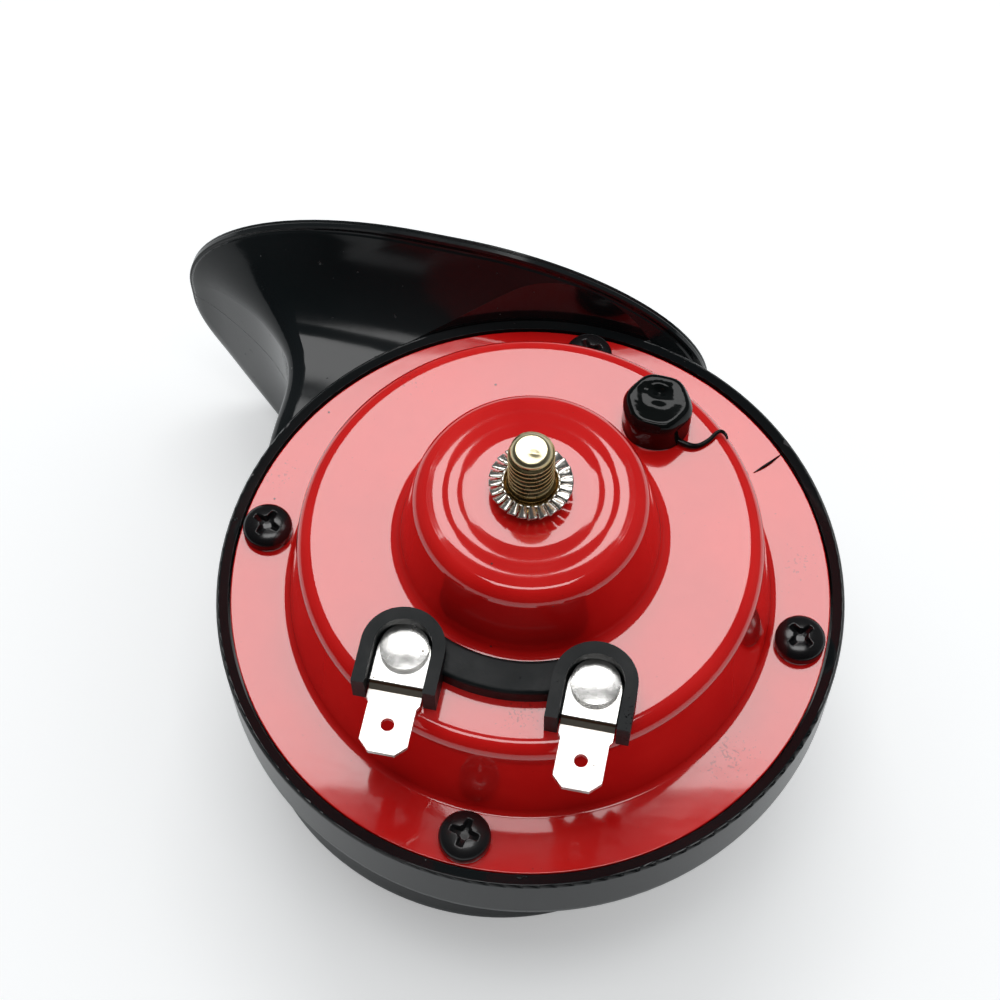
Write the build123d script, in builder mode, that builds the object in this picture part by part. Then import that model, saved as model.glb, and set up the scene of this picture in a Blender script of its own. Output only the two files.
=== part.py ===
"""Electric snail horn for a vehicle: stamped housing, snail case with bell, and the breaker inside.

Millimetres. The origin is on the axis at the bracket seat, the top of the lock washer round the stud.
+Z runs out along the stud, +Y out of the bell's mouth. Heights are given over the housing's flange.
"""

import os
from math import atan2, cos, degrees, radians, sin

from build123d import *

os.makedirs("parts", exist_ok=True)

# ---------------------------------------------------------------- driving dimensions
# Heights over the top of the housing's flange
seat_height = 31.0
disc_height = 28.3
rim_height = 27.5
annulus_height = 15.7
stud_tip_height = 39.1
seam_height = -14.5
floor_height = -6.4
ground_height = -42.0
lip_top_height = 13.0

# Clearance of riveted, screwed and pressed fits
fit_clearance = 0.05

# Stamped steel housing
sheet = 1.2
flange_radius = 42.0
drum_foot_radius = 33.7
drum_top_radius = 31.2
boss_foot_radius = 17.6
boss_rim_radius = 15.2
disc_radius = 8.2
terrace_radii = (10.5, 12.7)
terrace_width = 2.0
terrace_depth = 0.4
shoulder_fillet = 2.2
foot_fillet = 0.9
boss_foot_fillet = 1.6
boss_rim_fillet = 2.2

# Snail case
rim_radius = 44.0
rim_clearance = 0.3
rim_stand = 0.4
case_edge_fillet = 5.0
case_bore_radius = 36.6
chamber_radius = 34.0
floor_thickness = 2.0
duct_wall = 2.0
front_plate = 2.2
front_plate_radius = 39.0
throat_radius = 1.8

# Duct: a spiral from the throat to the left side, then a straight neck and the bell
spiral_turn = 360
spiral_step = 30
spiral_power = 1.6
start_radius = 7.0
exit_radius = 29.0
exit_width = 28.0
start_width = 8.0
width_power = 1.2
crest_turn = 200
start_depth = 20.0
neck_start = 24.0
lip_y = 46.2
lip_band = 1.2
neck_left = -43.0
neck_right = -12.0
neck_top_height = -0.8
lip_left = -65.4
lip_right = 17.4
side_flare_power = 2.1
top_flare_power = 4.5
corner_power = 3.5
flare_stand_off = 0.9
throat_turn = 330
start_wall_turn = 15
bell_stations = (0.0, 10.0, 18.0, 24.0, 28.5, 32.3, 35.6, 38.4, 40.9, 43.1, 45.0)

# Stud, core and lock washer
stud_radius = 3.0
stud_tip_radius = 2.2
stud_collar_radius = 3.2
core_ring_radius = 4.4
core_neck_radius = 3.6
core_radius = 7.0
core_end_height = 10.8
washer_radius = 5.45
washer_bore_radius = 3.4
washer_hub_radius = 4.1
washer_thickness = 0.7
washer_teeth = 24
tooth_width = 0.85
tooth_thickness = 0.5
tooth_twist = 24

# Terminals
terminal_axis = -88.0
terminal_spread = 31.2
terminal_radius = 24.2
insulator_floor = 1.6
insulator_floor_reach = 4.6
shield_height = 4.9
shield_radius = 5.5
shield_wall = 1.7
shield_offset = 0.6
shield_reach = 6.6
bridge_inner_radius = 19.5
bridge_outer_radius = 24.2
bridge_height = 2.7
bridge_fillet = 0.6
tab_thickness = 0.8
tab_width = 6.3
tab_base_width = 7.0
tab_reach = 14.2
tab_jog_start = 4.9
tab_jog_run = 1.0
tab_jog_drop = 0.9
tab_shoulder = 7.6
tab_chamfer = 1.4
tab_hole_radius = 0.9
tab_hole_reach = 10.3
rivet_head_radius = 3.2
rivet_head_height = 1.1
rivet_head_side = 0.8
rivet_radius = 1.2
rivet_foot_radius = 1.9
rivet_foot_height = 0.8
bush_wall = 0.9

# Case screws
screw_circle = 38.2
screw_head_radius = 3.5
screw_head_height = 2.6
screw_head_side = 1.3
screw_slot_length = 4.0
screw_slot_width = 0.9
screw_slot_depth = 1.2
screw_slot_angle = 30
screw_radius = 1.9
screw_tip_height = -7.2
screw_end_room = 0.3
screw_hole_clearance = 0.2

# Adjusting screw and its sealant
adjuster_angle = 58.5
adjuster_radius = 24.6
adjuster_head_flats = 7.0
adjuster_head_height = 3.4
adjuster_head_lift = 0.3
adjuster_shank_radius = 2.4
sealant_radius = 4.45
sealant_side_height = 4.3
sealant_top_height = 5.6
sealant_clearance = 0.05

# Inside: gaskets, diaphragm and armature
gasket_thickness = 0.5
gasket_inner_radius = 34.2
diaphragm_thickness = 0.4
corrugation_radii = (20.0, 26.0)
corrugation_height = 0.5
corrugation_width = 3.0
armature_radius = 9.0
armature_gap = 0.9
armature_thickness = 4.0
armature_hub_radius = 5.5
armature_stem_radius = 2.5
stem_tip_height = -4.9
diaphragm_washer_radius = 6.5
diaphragm_washer_thickness = 1.0
nut_flats = 8.0
nut_thickness = 1.8

# Inside: coil
bobbin_clearance = 0.1
bobbin_wall = 0.8
bobbin_flange = 1.2
bobbin_radius = 13.0
bobbin_bottom_height = 11.7
bobbin_top_height = 26.2
winding_radius = 12.2
retainer_thickness = 0.6
retainer_radius = 9.0

# Inside: breaker, built on a line from the axis through the adjusting screw
bracket_inner = 17.4
bracket_outer = 27.5
bracket_width = 11.0
stack_inner = 17.6
stack_outer = 21.8
stack_width = 8.0
stack_rivet_spacing = 4.8
stack_rivet_radius = 0.9
stack_rivet_head_radius = 1.5
stack_rivet_head_height = 0.8
insulator_plate = 1.0
clamp_thickness = 0.8
moving_arm_thickness = 0.4
fixed_arm_thickness = 0.6
arm_width = 5.6
arm_tip = 7.6
arm_bend_start = 14.2
arm_bend_end = 12.5
arm_lift_gap = 0.3
fixed_arm_tip = 13.9
fixed_arm_tail = 27.2
contact_place = 15.7
contact_radius = 1.3
contact_thickness = 0.5
fixed_arm_height = 9.8
breaker_ear_start = 2.8
breaker_ear_end = 7.5
breaker_ear_length = 2.6

# Inside: terminal plate, tags and leads
inner_plate_thickness = 1.0
inner_plate_band = 7.0
inner_plate_overhang = 8.0
tag_thickness = 0.6
tag_radius = 2.8
tag_ear_reach = 4.4
tag_ear_width = 3.0
lead_radius = 0.5
lead_bend = 1.3
lead_flange_gap = 0.2
ear_turn = 17.0
supply_ring = 26.0

# ---------------------------------------------------------------- derived levels and planes
screw_hole_radius = screw_radius + screw_hole_clearance
flange_z = -seat_height
housing_section = Plane(origin=(0, 0, flange_z), x_dir=(1, 0, 0), z_dir=(0, -1, 0))
roof_height = annulus_height - sheet
core_roof_height = disc_height - sheet
gasket_upper_height = -sheet
diaphragm_top = gasket_upper_height - gasket_thickness
diaphragm_bottom = diaphragm_top - diaphragm_thickness
ledge_height = diaphragm_bottom - gasket_thickness
pocket_radius = flange_radius + rim_clearance
duct_top_height = floor_height - floor_thickness
duct_roof_height = floor_height - 0.8
lip_start = lip_y - lip_band


def level(height):
    """Horizontal plane at a height over the flange."""
    return Plane.XY.offset(flange_z + height)


def at_polar(radius, angle, height):
    """Point at a polar place and a height over the flange."""
    return (radius * cos(radians(angle)), radius * sin(radians(angle)), flange_z + height)


def outward_plane(radius, angle, height, heading):
    """Horizontal plane at a polar place, with its x axis along a heading in degrees."""
    return Plane(
        origin=at_polar(radius, angle, height),
        x_dir=(cos(radians(heading)), sin(radians(heading)), 0),
        z_dir=(0, 0, 1),
    )


def dome(radius, side, top):
    """Arc of a round head from its side up to its axis."""
    rise = top - side
    ball = (radius**2 + rise**2) / (2 * rise)
    start = degrees(atan2(ball - rise, radius))
    CenterArc((0, top - ball), ball, start, 90 - start)


def finish(block, name):
    """Label a finished sub-part and write its STEP file."""
    block.part.label = name
    export_step(block.part, f"parts/{name}.step")


# ---------------------------------------------------------------- rear housing
# One stamping: flange, drum wall, annulus, and a boss whose top falls away in shallow terraces.
adjuster_hole_radius = adjuster_shank_radius + 0.2
bush_radius = rivet_radius + bush_wall
bush_hole_radius = bush_radius + fit_clearance


def disc_slope(radius):
    """Height of the boss's top at a radius, before the terraces are pressed in."""
    fall = (disc_height - rim_height) / (boss_rim_radius - disc_radius)
    return disc_height - fall * (radius - disc_radius)


with BuildPart() as rear_housing:
    with BuildSketch(housing_section):
        with BuildLine():
            outer_skin = FilletPolyline(
                (flange_radius, 0),
                (drum_foot_radius, 0),
                (drum_top_radius, annulus_height),
                (boss_foot_radius, annulus_height),
                (boss_rim_radius, rim_height),
                (disc_radius, disc_height),
                (core_neck_radius + fit_clearance, disc_height),
                radius=(foot_fillet, shoulder_fillet, boss_foot_fillet, boss_rim_fillet, 0.5),
            )
            offset(outer_skin, amount=sheet, side=Side.LEFT, closed=True)
        make_face()
    revolve(axis=Axis.Z)
    with BuildSketch(housing_section):
        for terrace in terrace_radii:
            start = terrace - terrace_width
            with BuildLine():
                Polyline(
                    (start, disc_slope(start) + 0.001),
                    (terrace - 0.3, disc_slope(terrace) - terrace_depth),
                    (terrace, disc_slope(terrace) + 0.001),
                    (terrace, disc_slope(terrace) + 0.5),
                    (start, disc_slope(start) + 0.5),
                    close=True,
                )
            make_face()
    revolve(axis=Axis.Z, mode=Mode.SUBTRACT)
    with BuildSketch(level(0)):
        with PolarLocations(screw_circle, 4):
            Circle(screw_hole_radius)
    extrude(amount=-sheet, mode=Mode.SUBTRACT)
    with BuildSketch(level(annulus_height)):
        for side in (-1, 1):
            with PolarLocations(terminal_radius, 1, start_angle=terminal_axis + side * terminal_spread):
                Circle(bush_hole_radius)
        with PolarLocations(adjuster_radius, 1, start_angle=adjuster_angle):
            Circle(adjuster_hole_radius)
    extrude(amount=-sheet, mode=Mode.SUBTRACT)
finish(rear_housing, "rear_housing")


# ---------------------------------------------------------------- duct of the snail case
def duct_outline(low_x, high_x, low_y, high_y, top_corner, low_corner):
    """Closed outline with elliptical corners, each corner an (x radius, y radius) pair."""
    top_x, top_y = top_corner
    low_cx, low_cy = low_corner
    Line((low_x + top_x, high_y), (high_x - top_x, high_y))
    EllipticalCenterArc((high_x - top_x, high_y - top_y), top_x, top_y, 0, arc_size=90)
    Line((high_x, high_y - top_y), (high_x, low_y + low_cy))
    EllipticalCenterArc((high_x - low_cx, low_y + low_cy), low_cx, low_cy, 270, arc_size=90)
    Line((high_x - low_cx, low_y), (low_x + low_cx, low_y))
    EllipticalCenterArc((low_x + low_cx, low_y + low_cy), low_cx, low_cy, 180, arc_size=90)
    Line((low_x, low_y + low_cy), (low_x, high_y - top_y))
    EllipticalCenterArc((low_x + top_x, high_y - top_y), top_x, top_y, 90, arc_size=90)


def spiral_point(turn):
    """Centre of the duct, counted in degrees of turn back from the exit."""
    radius = exit_radius - (exit_radius - start_radius) * (turn / spiral_turn) ** spiral_power
    angle = radians(180 + turn)
    return radius * cos(angle), radius * sin(angle)


def spiral_section(turn, wall):
    """Plane across the spiral and the half width, low and high of the duct there, less a wall."""
    here = spiral_point(turn)
    before = spiral_point(turn + 0.5)
    after = spiral_point(max(turn - 0.5, 0))
    heading = atan2(after[1] - before[1], after[0] - before[0])
    if turn == 0:
        heading = radians(90)
    plane = Plane(
        origin=(here[0], here[1], flange_z),
        x_dir=(cos(heading + radians(90)), sin(heading + radians(90)), 0),
        z_dir=(cos(heading), sin(heading), 0),
    )
    left = 1 - turn / spiral_turn
    half_width = (start_width + (exit_width - start_width) * left**width_power) / 2
    fall = min(1, (spiral_turn - turn) / (spiral_turn - crest_turn))
    low = -start_depth + (ground_height + start_depth) * sin(radians(90 * fall)) ** 1.5
    return plane, half_width - wall, low + wall, duct_roof_height - wall


def bell_section(y, wall):
    """Limits of the duct's outline at a distance along the neck and bell, less a wall.

    Where the bell flares, its inner skin stands off along the bell as well as across it.
    """
    flare = max(0, (y - neck_start) / (lip_start - neck_start))
    flare = max(0, flare - wall * flare_stand_off * min(1, 2 * flare) / (lip_start - neck_start))
    ease = min(1, y / (neck_start - 4))
    ease = ease * ease * (3 - 2 * ease)
    exit_left = -exit_radius - exit_width / 2
    exit_right = -exit_radius + exit_width / 2
    left = exit_left + (neck_left - exit_left) * ease + (lip_left - neck_left) * flare**side_flare_power
    right = exit_right + (neck_right - exit_right) * ease
    right += (lip_right - neck_right) * flare**side_flare_power
    high = duct_roof_height + (neck_top_height - duct_roof_height) * ease
    high += (lip_top_height - neck_top_height) * flare**top_flare_power
    corner = min(1, flare) ** corner_power
    half_width = (right - left) / 2
    half_height = (high - ground_height) / 2
    top_corner = [3 + (half_width - 6) * corner - wall / 2, 3 + (half_height - 5) * corner - wall / 2]
    low_corner = [8 + (half_width - 11) * corner - wall / 2, 8 + (half_height - 10) * corner - wall / 2]
    side_wall = wall * (1 - 0.6 * min(1, flare))
    return left + side_wall, right - side_wall, ground_height + wall, high - side_wall, top_corner, low_corner


def bell_plane(y):
    """Plane across the neck and bell, looking out of the mouth."""
    return Plane(origin=(0, y, flange_z), x_dir=(-1, 0, 0), z_dir=(0, 1, 0))


def bell_outline(y, wall):
    """Closed outline of the duct at a distance along the neck and bell."""
    left, right, low, high, top_corner, low_corner = bell_section(y, wall)
    duct_outline(-right, -left, low, high, top_corner, low_corner)


def duct(wall, start_turn, stations, band):
    """Solid of the duct, drawn in by a wall; a straight band may end it at its last station."""
    with BuildPart(mode=Mode.PRIVATE) as whole:
        for turn in (start_turn, *range(spiral_turn - spiral_step, 0, -spiral_step)):
            plane, half_width, low, high = spiral_section(turn, wall)
            low_corner = min(8 - wall / 2, 0.8 * half_width, 0.4 * (high - low))
            top_corner = min(3 - wall / 2, low_corner)
            with BuildSketch(plane):
                with BuildLine():
                    corners = ((top_corner, top_corner), (low_corner, low_corner))
                    duct_outline(-half_width, half_width, low, high, *corners)
                make_face()
        for y in stations:
            with BuildSketch(bell_plane(y)):
                with BuildLine():
                    bell_outline(y, wall)
                make_face()
        loft()
        if band:
            with BuildSketch(bell_plane(stations[-1])):
                with BuildLine():
                    bell_outline(stations[-1], wall)
                make_face()
            extrude(amount=band)
    return whole.part


outer_duct = duct(0, spiral_turn, bell_stations, lip_band)
inner_duct = duct(duct_wall, spiral_turn - start_wall_turn, (*bell_stations, lip_y, lip_y + 1), 0)


# ---------------------------------------------------------------- snail case
# The bell keeps clear of the round case behind its lip: the case's wall shows through its mouth.
case_keep_radius = rim_radius + duct_wall
reach = 3 * rim_radius

with BuildPart() as case_keep:
    with BuildSketch(level(duct_top_height)):
        Circle(case_keep_radius)
    extrude(amount=reach)
    fillet(case_keep.edges().sort_by(Axis.Z)[0], case_edge_fillet)

with BuildPart() as duct_space:
    add(inner_duct)
    add(case_keep.part, mode=Mode.SUBTRACT)

# Rear shell: the cup that holds the housing, with the rear half of the duct and bell.
with BuildPart() as snail_rear_shell:
    with BuildSketch(housing_section):
        with BuildLine():
            cup = FilletPolyline(
                (0, rim_stand),
                (rim_radius, rim_stand),
                (rim_radius, seam_height),
                (0, seam_height),
                radius=(0.5, case_edge_fillet),
            )
            Line(cup @ 1, cup @ 0)
        make_face()
    revolve(axis=Axis.Z)
    with BuildSketch(level(seam_height)):
        Circle(case_bore_radius)
    extrude(amount=duct_top_height - seam_height, mode=Mode.SUBTRACT)
    add(outer_duct)
    with BuildSketch(level(seam_height)):
        Rectangle(2 * reach, 2 * reach)
    extrude(amount=-reach, mode=Mode.SUBTRACT)
    with BuildSketch(level(rim_stand)):
        Circle(rim_radius)
    extrude(amount=reach, taper=-4, mode=Mode.SUBTRACT)
    with BuildSketch(level(ledge_height)):
        Circle(pocket_radius)
    extrude(amount=reach, mode=Mode.SUBTRACT)
    with BuildSketch(level(floor_height)):
        Circle(chamber_radius)
    extrude(amount=reach, mode=Mode.SUBTRACT)
    add(duct_space.part, mode=Mode.SUBTRACT)
    with BuildSketch(level(floor_height)):
        with Locations(spiral_point(throat_turn)):
            Circle(throat_radius)
    extrude(amount=-2 * floor_thickness, mode=Mode.SUBTRACT)
    with BuildSketch(level(ledge_height)):
        with PolarLocations(screw_circle, 4):
            Circle(screw_radius + fit_clearance)
    extrude(amount=screw_tip_height - screw_end_room - ledge_height, mode=Mode.SUBTRACT)
finish(snail_rear_shell, "snail_rear_shell")

# Front shell: a plate that closes the cup, with the front half of the duct standing out of it.
with BuildPart() as snail_front_shell:
    add(outer_duct)
    with BuildSketch(level(seam_height)):
        Rectangle(2 * reach, 2 * reach)
    extrude(amount=reach, mode=Mode.SUBTRACT)
    with BuildSketch(level(seam_height)):
        Circle(front_plate_radius)
    extrude(amount=-front_plate)
    add(duct_space.part, mode=Mode.SUBTRACT)
finish(snail_front_shell, "snail_front_shell")

# ---------------------------------------------------------------- case screws
with BuildPart() as case_screw:
    with BuildSketch(housing_section):
        with BuildLine():
            Polyline((0, screw_tip_height), (screw_radius, screw_tip_height), (screw_radius, 0))
            Line((screw_radius, 0), (screw_head_radius, 0))
            Line((screw_head_radius, 0), (screw_head_radius, screw_head_side))
            dome(screw_head_radius, screw_head_side, screw_head_height)
            Line((0, screw_head_height), (0, screw_tip_height))
        make_face()
    revolve(axis=Axis.Z)
    with BuildSketch(level(screw_head_height)):
        Rectangle(screw_slot_length, screw_slot_width, rotation=screw_slot_angle)
        Rectangle(screw_slot_width, screw_slot_length, rotation=screw_slot_angle)
    extrude(amount=-screw_slot_depth, mode=Mode.SUBTRACT)

with BuildPart() as case_screws:
    with PolarLocations(screw_circle, 4):
        add(case_screw.part)
finish(case_screws, "case_screws")

# ---------------------------------------------------------------- stud, core and lock washer
# The core is riveted through the boss; its ring carries the lock washer, its far end pulls the armature.
washer_seat_height = seat_height - washer_thickness

with BuildPart() as pole_core:
    with BuildSketch(housing_section):
        with BuildLine():
            Polyline(
                (0, core_end_height),
                (core_radius, core_end_height),
                (core_radius, core_roof_height),
                (core_neck_radius, core_roof_height),
                (core_neck_radius, disc_height),
                (core_ring_radius, disc_height),
                (core_ring_radius, washer_seat_height),
                (stud_collar_radius, washer_seat_height),
                (stud_collar_radius, seat_height),
                (stud_radius, seat_height),
                (stud_radius, stud_tip_height - (stud_radius - stud_tip_radius)),
                (stud_tip_radius, stud_tip_height),
                (0, stud_tip_height),
                close=True,
            )
        make_face()
    revolve(axis=Axis.Z)
finish(pole_core, "pole_core")

with BuildPart() as serrated_washer:
    with BuildSketch(level(washer_seat_height)):
        Circle(washer_hub_radius)
    extrude(amount=washer_thickness)
    for tooth in range(washer_teeth):
        tooth_angle = 360 / washer_teeth * tooth
        across = Plane(
            origin=at_polar(washer_bore_radius + 0.2, tooth_angle, seat_height - washer_thickness / 2),
            x_dir=(-sin(radians(tooth_angle)), cos(radians(tooth_angle)), 0),
            z_dir=(cos(radians(tooth_angle)), sin(radians(tooth_angle)), 0),
        )
        with BuildSketch(across):
            Rectangle(tooth_width, tooth_thickness, rotation=tooth_twist)
        extrude(amount=washer_radius - washer_bore_radius - 0.2)
    with BuildSketch(level(washer_seat_height)):
        Circle(washer_bore_radius)
    extrude(amount=washer_thickness, mode=Mode.SUBTRACT)
    with BuildSketch(level(seat_height)):
        Circle(2 * washer_radius)
    extrude(amount=washer_radius, mode=Mode.SUBTRACT)
    with BuildSketch(level(washer_seat_height)):
        Circle(core_ring_radius + fit_clearance)
    extrude(amount=-washer_radius, mode=Mode.SUBTRACT)
finish(serrated_washer, "serrated_washer")


# ---------------------------------------------------------------- terminals
def terminal_plane(side, height):
    """Horizontal plane at a terminal, its x axis out along the tab; the two tabs are parallel."""
    return outward_plane(terminal_radius, terminal_axis + side * terminal_spread, height, terminal_axis)


insulator_top = annulus_height + insulator_floor
shield_inner_radius = shield_radius - shield_wall
rivet_hole_radius = rivet_radius + fit_clearance
bridge_middle_radius = (bridge_inner_radius + bridge_outer_radius) / 2
bridge_width = bridge_outer_radius - bridge_inner_radius



def arc_band(inner_radius, outer_radius, middle_angle, half_spread):
    """Closed outline of a curved strip round the axis."""
    first = middle_angle - half_spread
    CenterArc((0, 0), outer_radius, first, 2 * half_spread)
    CenterArc((0, 0), inner_radius, first, 2 * half_spread)
    for angle in (first, middle_angle + half_spread):
        direction = (cos(radians(angle)), sin(radians(angle)))
        Line(
            (inner_radius * direction[0], inner_radius * direction[1]),
            (outer_radius * direction[0], outer_radius * direction[1]),
        )


def horseshoe(radius, reach_out):
    """Closed outline of a half round with straight sides that run out along x."""
    Line((shield_offset, -radius), (reach_out, -radius))
    Line((reach_out, -radius), (reach_out, radius))
    Line((reach_out, radius), (shield_offset, radius))
    CenterArc((shield_offset, 0), radius, 90, 180)


# One moulding: two pads with horseshoe shields, joined by a rounded bridge, with a bush under each pad.
with BuildPart() as terminal_insulator:
    with BuildSketch(level(annulus_height)):
        with BuildLine():
            arc_band(bridge_inner_radius, bridge_outer_radius, terminal_axis, terminal_spread)
        make_face()
    extrude(amount=bridge_height)
    fillet(terminal_insulator.edges().filter_by(GeomType.CIRCLE).group_by(Axis.Z)[-1], bridge_fillet)
    for side in (-1, 1):
        with BuildSketch(terminal_plane(side, annulus_height)):
            with BuildLine():
                horseshoe(shield_radius, insulator_floor_reach)
            make_face()
        extrude(amount=insulator_floor)
        with BuildSketch(terminal_plane(side, annulus_height)):
            with BuildLine():
                horseshoe(shield_radius, shield_reach)
            make_face()
            with BuildLine():
                horseshoe(shield_inner_radius, shield_reach)
            make_face(mode=Mode.SUBTRACT)
        extrude(amount=shield_height)
    for side in (-1, 1):
        with BuildSketch(terminal_plane(side, insulator_top)):
            with BuildLine():
                horseshoe(shield_inner_radius, shield_reach)
            make_face()
        extrude(amount=shield_height, mode=Mode.SUBTRACT)
        with BuildSketch(terminal_plane(side, annulus_height)):
            Circle(bush_radius)
        extrude(amount=roof_height - annulus_height)
        with BuildSketch(terminal_plane(side, insulator_top)):
            Circle(rivet_hole_radius)
        extrude(amount=roof_height - insulator_top, mode=Mode.SUBTRACT)
finish(terminal_insulator, "terminal_insulator")

# Spade tab: a round base under the rivet, a jog down, then the blade with a locking hole.
with BuildPart() as spade_tab:
    with BuildSketch(Plane.XZ):
        with BuildLine():
            jog_end = tab_jog_start + tab_jog_run
            Polyline(
                (-tab_base_width, 0),
                (tab_jog_start, 0),
                (jog_end, -tab_jog_drop),
                (tab_reach, -tab_jog_drop),
                (tab_reach, tab_thickness - tab_jog_drop),
                (jog_end, tab_thickness - tab_jog_drop),
                (tab_jog_start, tab_thickness),
                (-tab_base_width, tab_thickness),
                close=True,
            )
        make_face()
    extrude(amount=tab_base_width, both=True)
    with BuildSketch(Plane.XY.offset(-tab_base_width)) as tab_outline:
        with BuildLine():
            Polyline(
                (shield_offset, tab_base_width / 2),
                (tab_shoulder - 0.5, tab_base_width / 2),
                (tab_shoulder, tab_width / 2),
                (tab_reach - tab_chamfer, tab_width / 2),
                (tab_reach, tab_width / 2 - tab_chamfer),
                (tab_reach, tab_chamfer - tab_width / 2),
                (tab_reach - tab_chamfer, -tab_width / 2),
                (tab_shoulder, -tab_width / 2),
                (tab_shoulder - 0.5, -tab_base_width / 2),
                (shield_offset, -tab_base_width / 2),
            )
            CenterArc((shield_offset, 0), tab_base_width / 2, 90, 180)
        make_face()
        Circle(rivet_hole_radius, mode=Mode.SUBTRACT)
        with Locations((tab_hole_reach, 0)):
            Circle(tab_hole_radius, mode=Mode.SUBTRACT)
    extrude(amount=2 * tab_base_width, mode=Mode.INTERSECT)

with BuildPart() as spade_terminal_left:
    add(spade_tab.part.moved(Location(terminal_plane(-1, insulator_top))))
finish(spade_terminal_left, "spade_terminal_left")

with BuildPart() as spade_terminal_right:
    add(spade_tab.part.moved(Location(terminal_plane(1, insulator_top))))
finish(spade_terminal_right, "spade_terminal_right")

# Tubular rivet: pan head on the tab, foot rolled out under the solder tag.
tag_bottom_height = roof_height - inner_plate_thickness - tag_thickness
tab_top_height = insulator_top + tab_thickness

with BuildPart() as terminal_rivet:
    with BuildSketch(Plane.XZ):
        with BuildLine():
            Polyline(
                (0, tag_bottom_height - rivet_foot_height),
                (rivet_foot_radius, tag_bottom_height - rivet_foot_height),
                (rivet_foot_radius, tag_bottom_height),
                (rivet_radius, tag_bottom_height),
                (rivet_radius, tab_top_height),
                (rivet_head_radius, tab_top_height),
                (rivet_head_radius, tab_top_height + rivet_head_side),
            )
            dome(rivet_head_radius, tab_top_height + rivet_head_side, tab_top_height + rivet_head_height)
            Line((0, tab_top_height + rivet_head_height), (0, tag_bottom_height - rivet_foot_height))
        make_face()
    revolve(axis=Axis.Z)

with BuildPart() as terminal_rivets:
    add(terminal_rivet.part.moved(Location(terminal_plane(-1, 0))))
    add(terminal_rivet.part.moved(Location(terminal_plane(1, 0))))
finish(terminal_rivets, "terminal_rivets")

# ---------------------------------------------------------------- adjusting screw and its sealant
adjuster_plane = outward_plane(adjuster_radius, adjuster_angle, annulus_height, adjuster_angle)
fixed_arm_top = fixed_arm_height + fixed_arm_thickness

with BuildPart() as adjusting_screw:
    with BuildSketch(adjuster_plane.offset(adjuster_head_lift)):
        RegularPolygon(adjuster_head_flats / 2, 6, major_radius=False)
    extrude(amount=adjuster_head_height)
    with BuildSketch(adjuster_plane.offset(adjuster_head_lift)):
        Circle(adjuster_shank_radius)
    extrude(amount=fixed_arm_top - annulus_height - adjuster_head_lift)
finish(adjusting_screw, "adjusting_screw")

with BuildPart() as screw_sealant:
    with BuildSketch(adjuster_plane):
        Circle(sealant_radius)
    extrude(amount=sealant_top_height)
    fillet(screw_sealant.edges().group_by(Axis.Z)[-1], sealant_top_height - sealant_side_height)
    with BuildSketch(adjuster_plane):
        RegularPolygon(adjuster_head_flats / 2 + sealant_clearance, 6, major_radius=False)
    extrude(amount=adjuster_head_lift + adjuster_head_height, mode=Mode.SUBTRACT)
    with BuildSketch(adjuster_plane):
        Circle(sealant_radius)
        Circle(adjuster_shank_radius + sealant_clearance, mode=Mode.SUBTRACT)
    extrude(amount=adjuster_head_lift)
finish(screw_sealant, "screw_sealant")

# ---------------------------------------------------------------- gaskets, diaphragm and armature
gasket_outer_radius = flange_radius - 0.2

with BuildPart() as gasket_upper:
    with BuildSketch(level(gasket_upper_height)):
        Circle(gasket_outer_radius)
        Circle(gasket_inner_radius, mode=Mode.SUBTRACT)
        with PolarLocations(screw_circle, 4):
            Circle(screw_hole_radius, mode=Mode.SUBTRACT)
    extrude(amount=-gasket_thickness)
finish(gasket_upper, "gasket_upper")

with BuildPart() as gasket_lower:
    with BuildSketch(level(diaphragm_bottom)):
        Circle(gasket_outer_radius)
        Circle(gasket_inner_radius, mode=Mode.SUBTRACT)
        with PolarLocations(screw_circle, 4):
            Circle(screw_hole_radius, mode=Mode.SUBTRACT)
    extrude(amount=-gasket_thickness)
finish(gasket_lower, "gasket_lower")


def diaphragm_line(height):
    """Points of the diaphragm's section from its hole to its edge, with the pressed rings."""
    points = [(armature_stem_radius + fit_clearance, height)]
    for ring in corrugation_radii:
        points.append((ring - corrugation_width / 2, height))
        points.append((ring - corrugation_width / 6, height + corrugation_height))
        points.append((ring + corrugation_width / 6, height + corrugation_height))
        points.append((ring + corrugation_width / 2, height))
    points.append((gasket_outer_radius, height))
    return points


with BuildPart() as diaphragm:
    with BuildSketch(housing_section):
        with BuildLine():
            Polyline(*diaphragm_line(diaphragm_top), *reversed(diaphragm_line(diaphragm_bottom)), close=True)
        make_face()
    revolve(axis=Axis.Z)
    with BuildSketch(level(diaphragm_top)):
        with PolarLocations(screw_circle, 4):
            Circle(screw_hole_radius)
    extrude(amount=-diaphragm_thickness, mode=Mode.SUBTRACT)
finish(diaphragm, "diaphragm")

armature_top = core_end_height - armature_gap
armature_shoulder = armature_top - armature_thickness

with BuildPart() as armature:
    with BuildSketch(housing_section):
        with BuildLine():
            Polyline(
                (0, armature_top),
                (armature_radius, armature_top),
                (armature_radius, armature_shoulder),
                (armature_hub_radius, armature_shoulder),
                (armature_hub_radius, diaphragm_top),
                (armature_stem_radius, diaphragm_top),
                (armature_stem_radius, stem_tip_height),
                (0, stem_tip_height),
                close=True,
            )
        make_face()
    revolve(axis=Axis.Z)
finish(armature, "armature")

with BuildPart() as diaphragm_washer:
    with BuildSketch(level(diaphragm_bottom)):
        Circle(diaphragm_washer_radius)
        Circle(armature_stem_radius + fit_clearance, mode=Mode.SUBTRACT)
    extrude(amount=-diaphragm_washer_thickness)
finish(diaphragm_washer, "diaphragm_washer")

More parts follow.
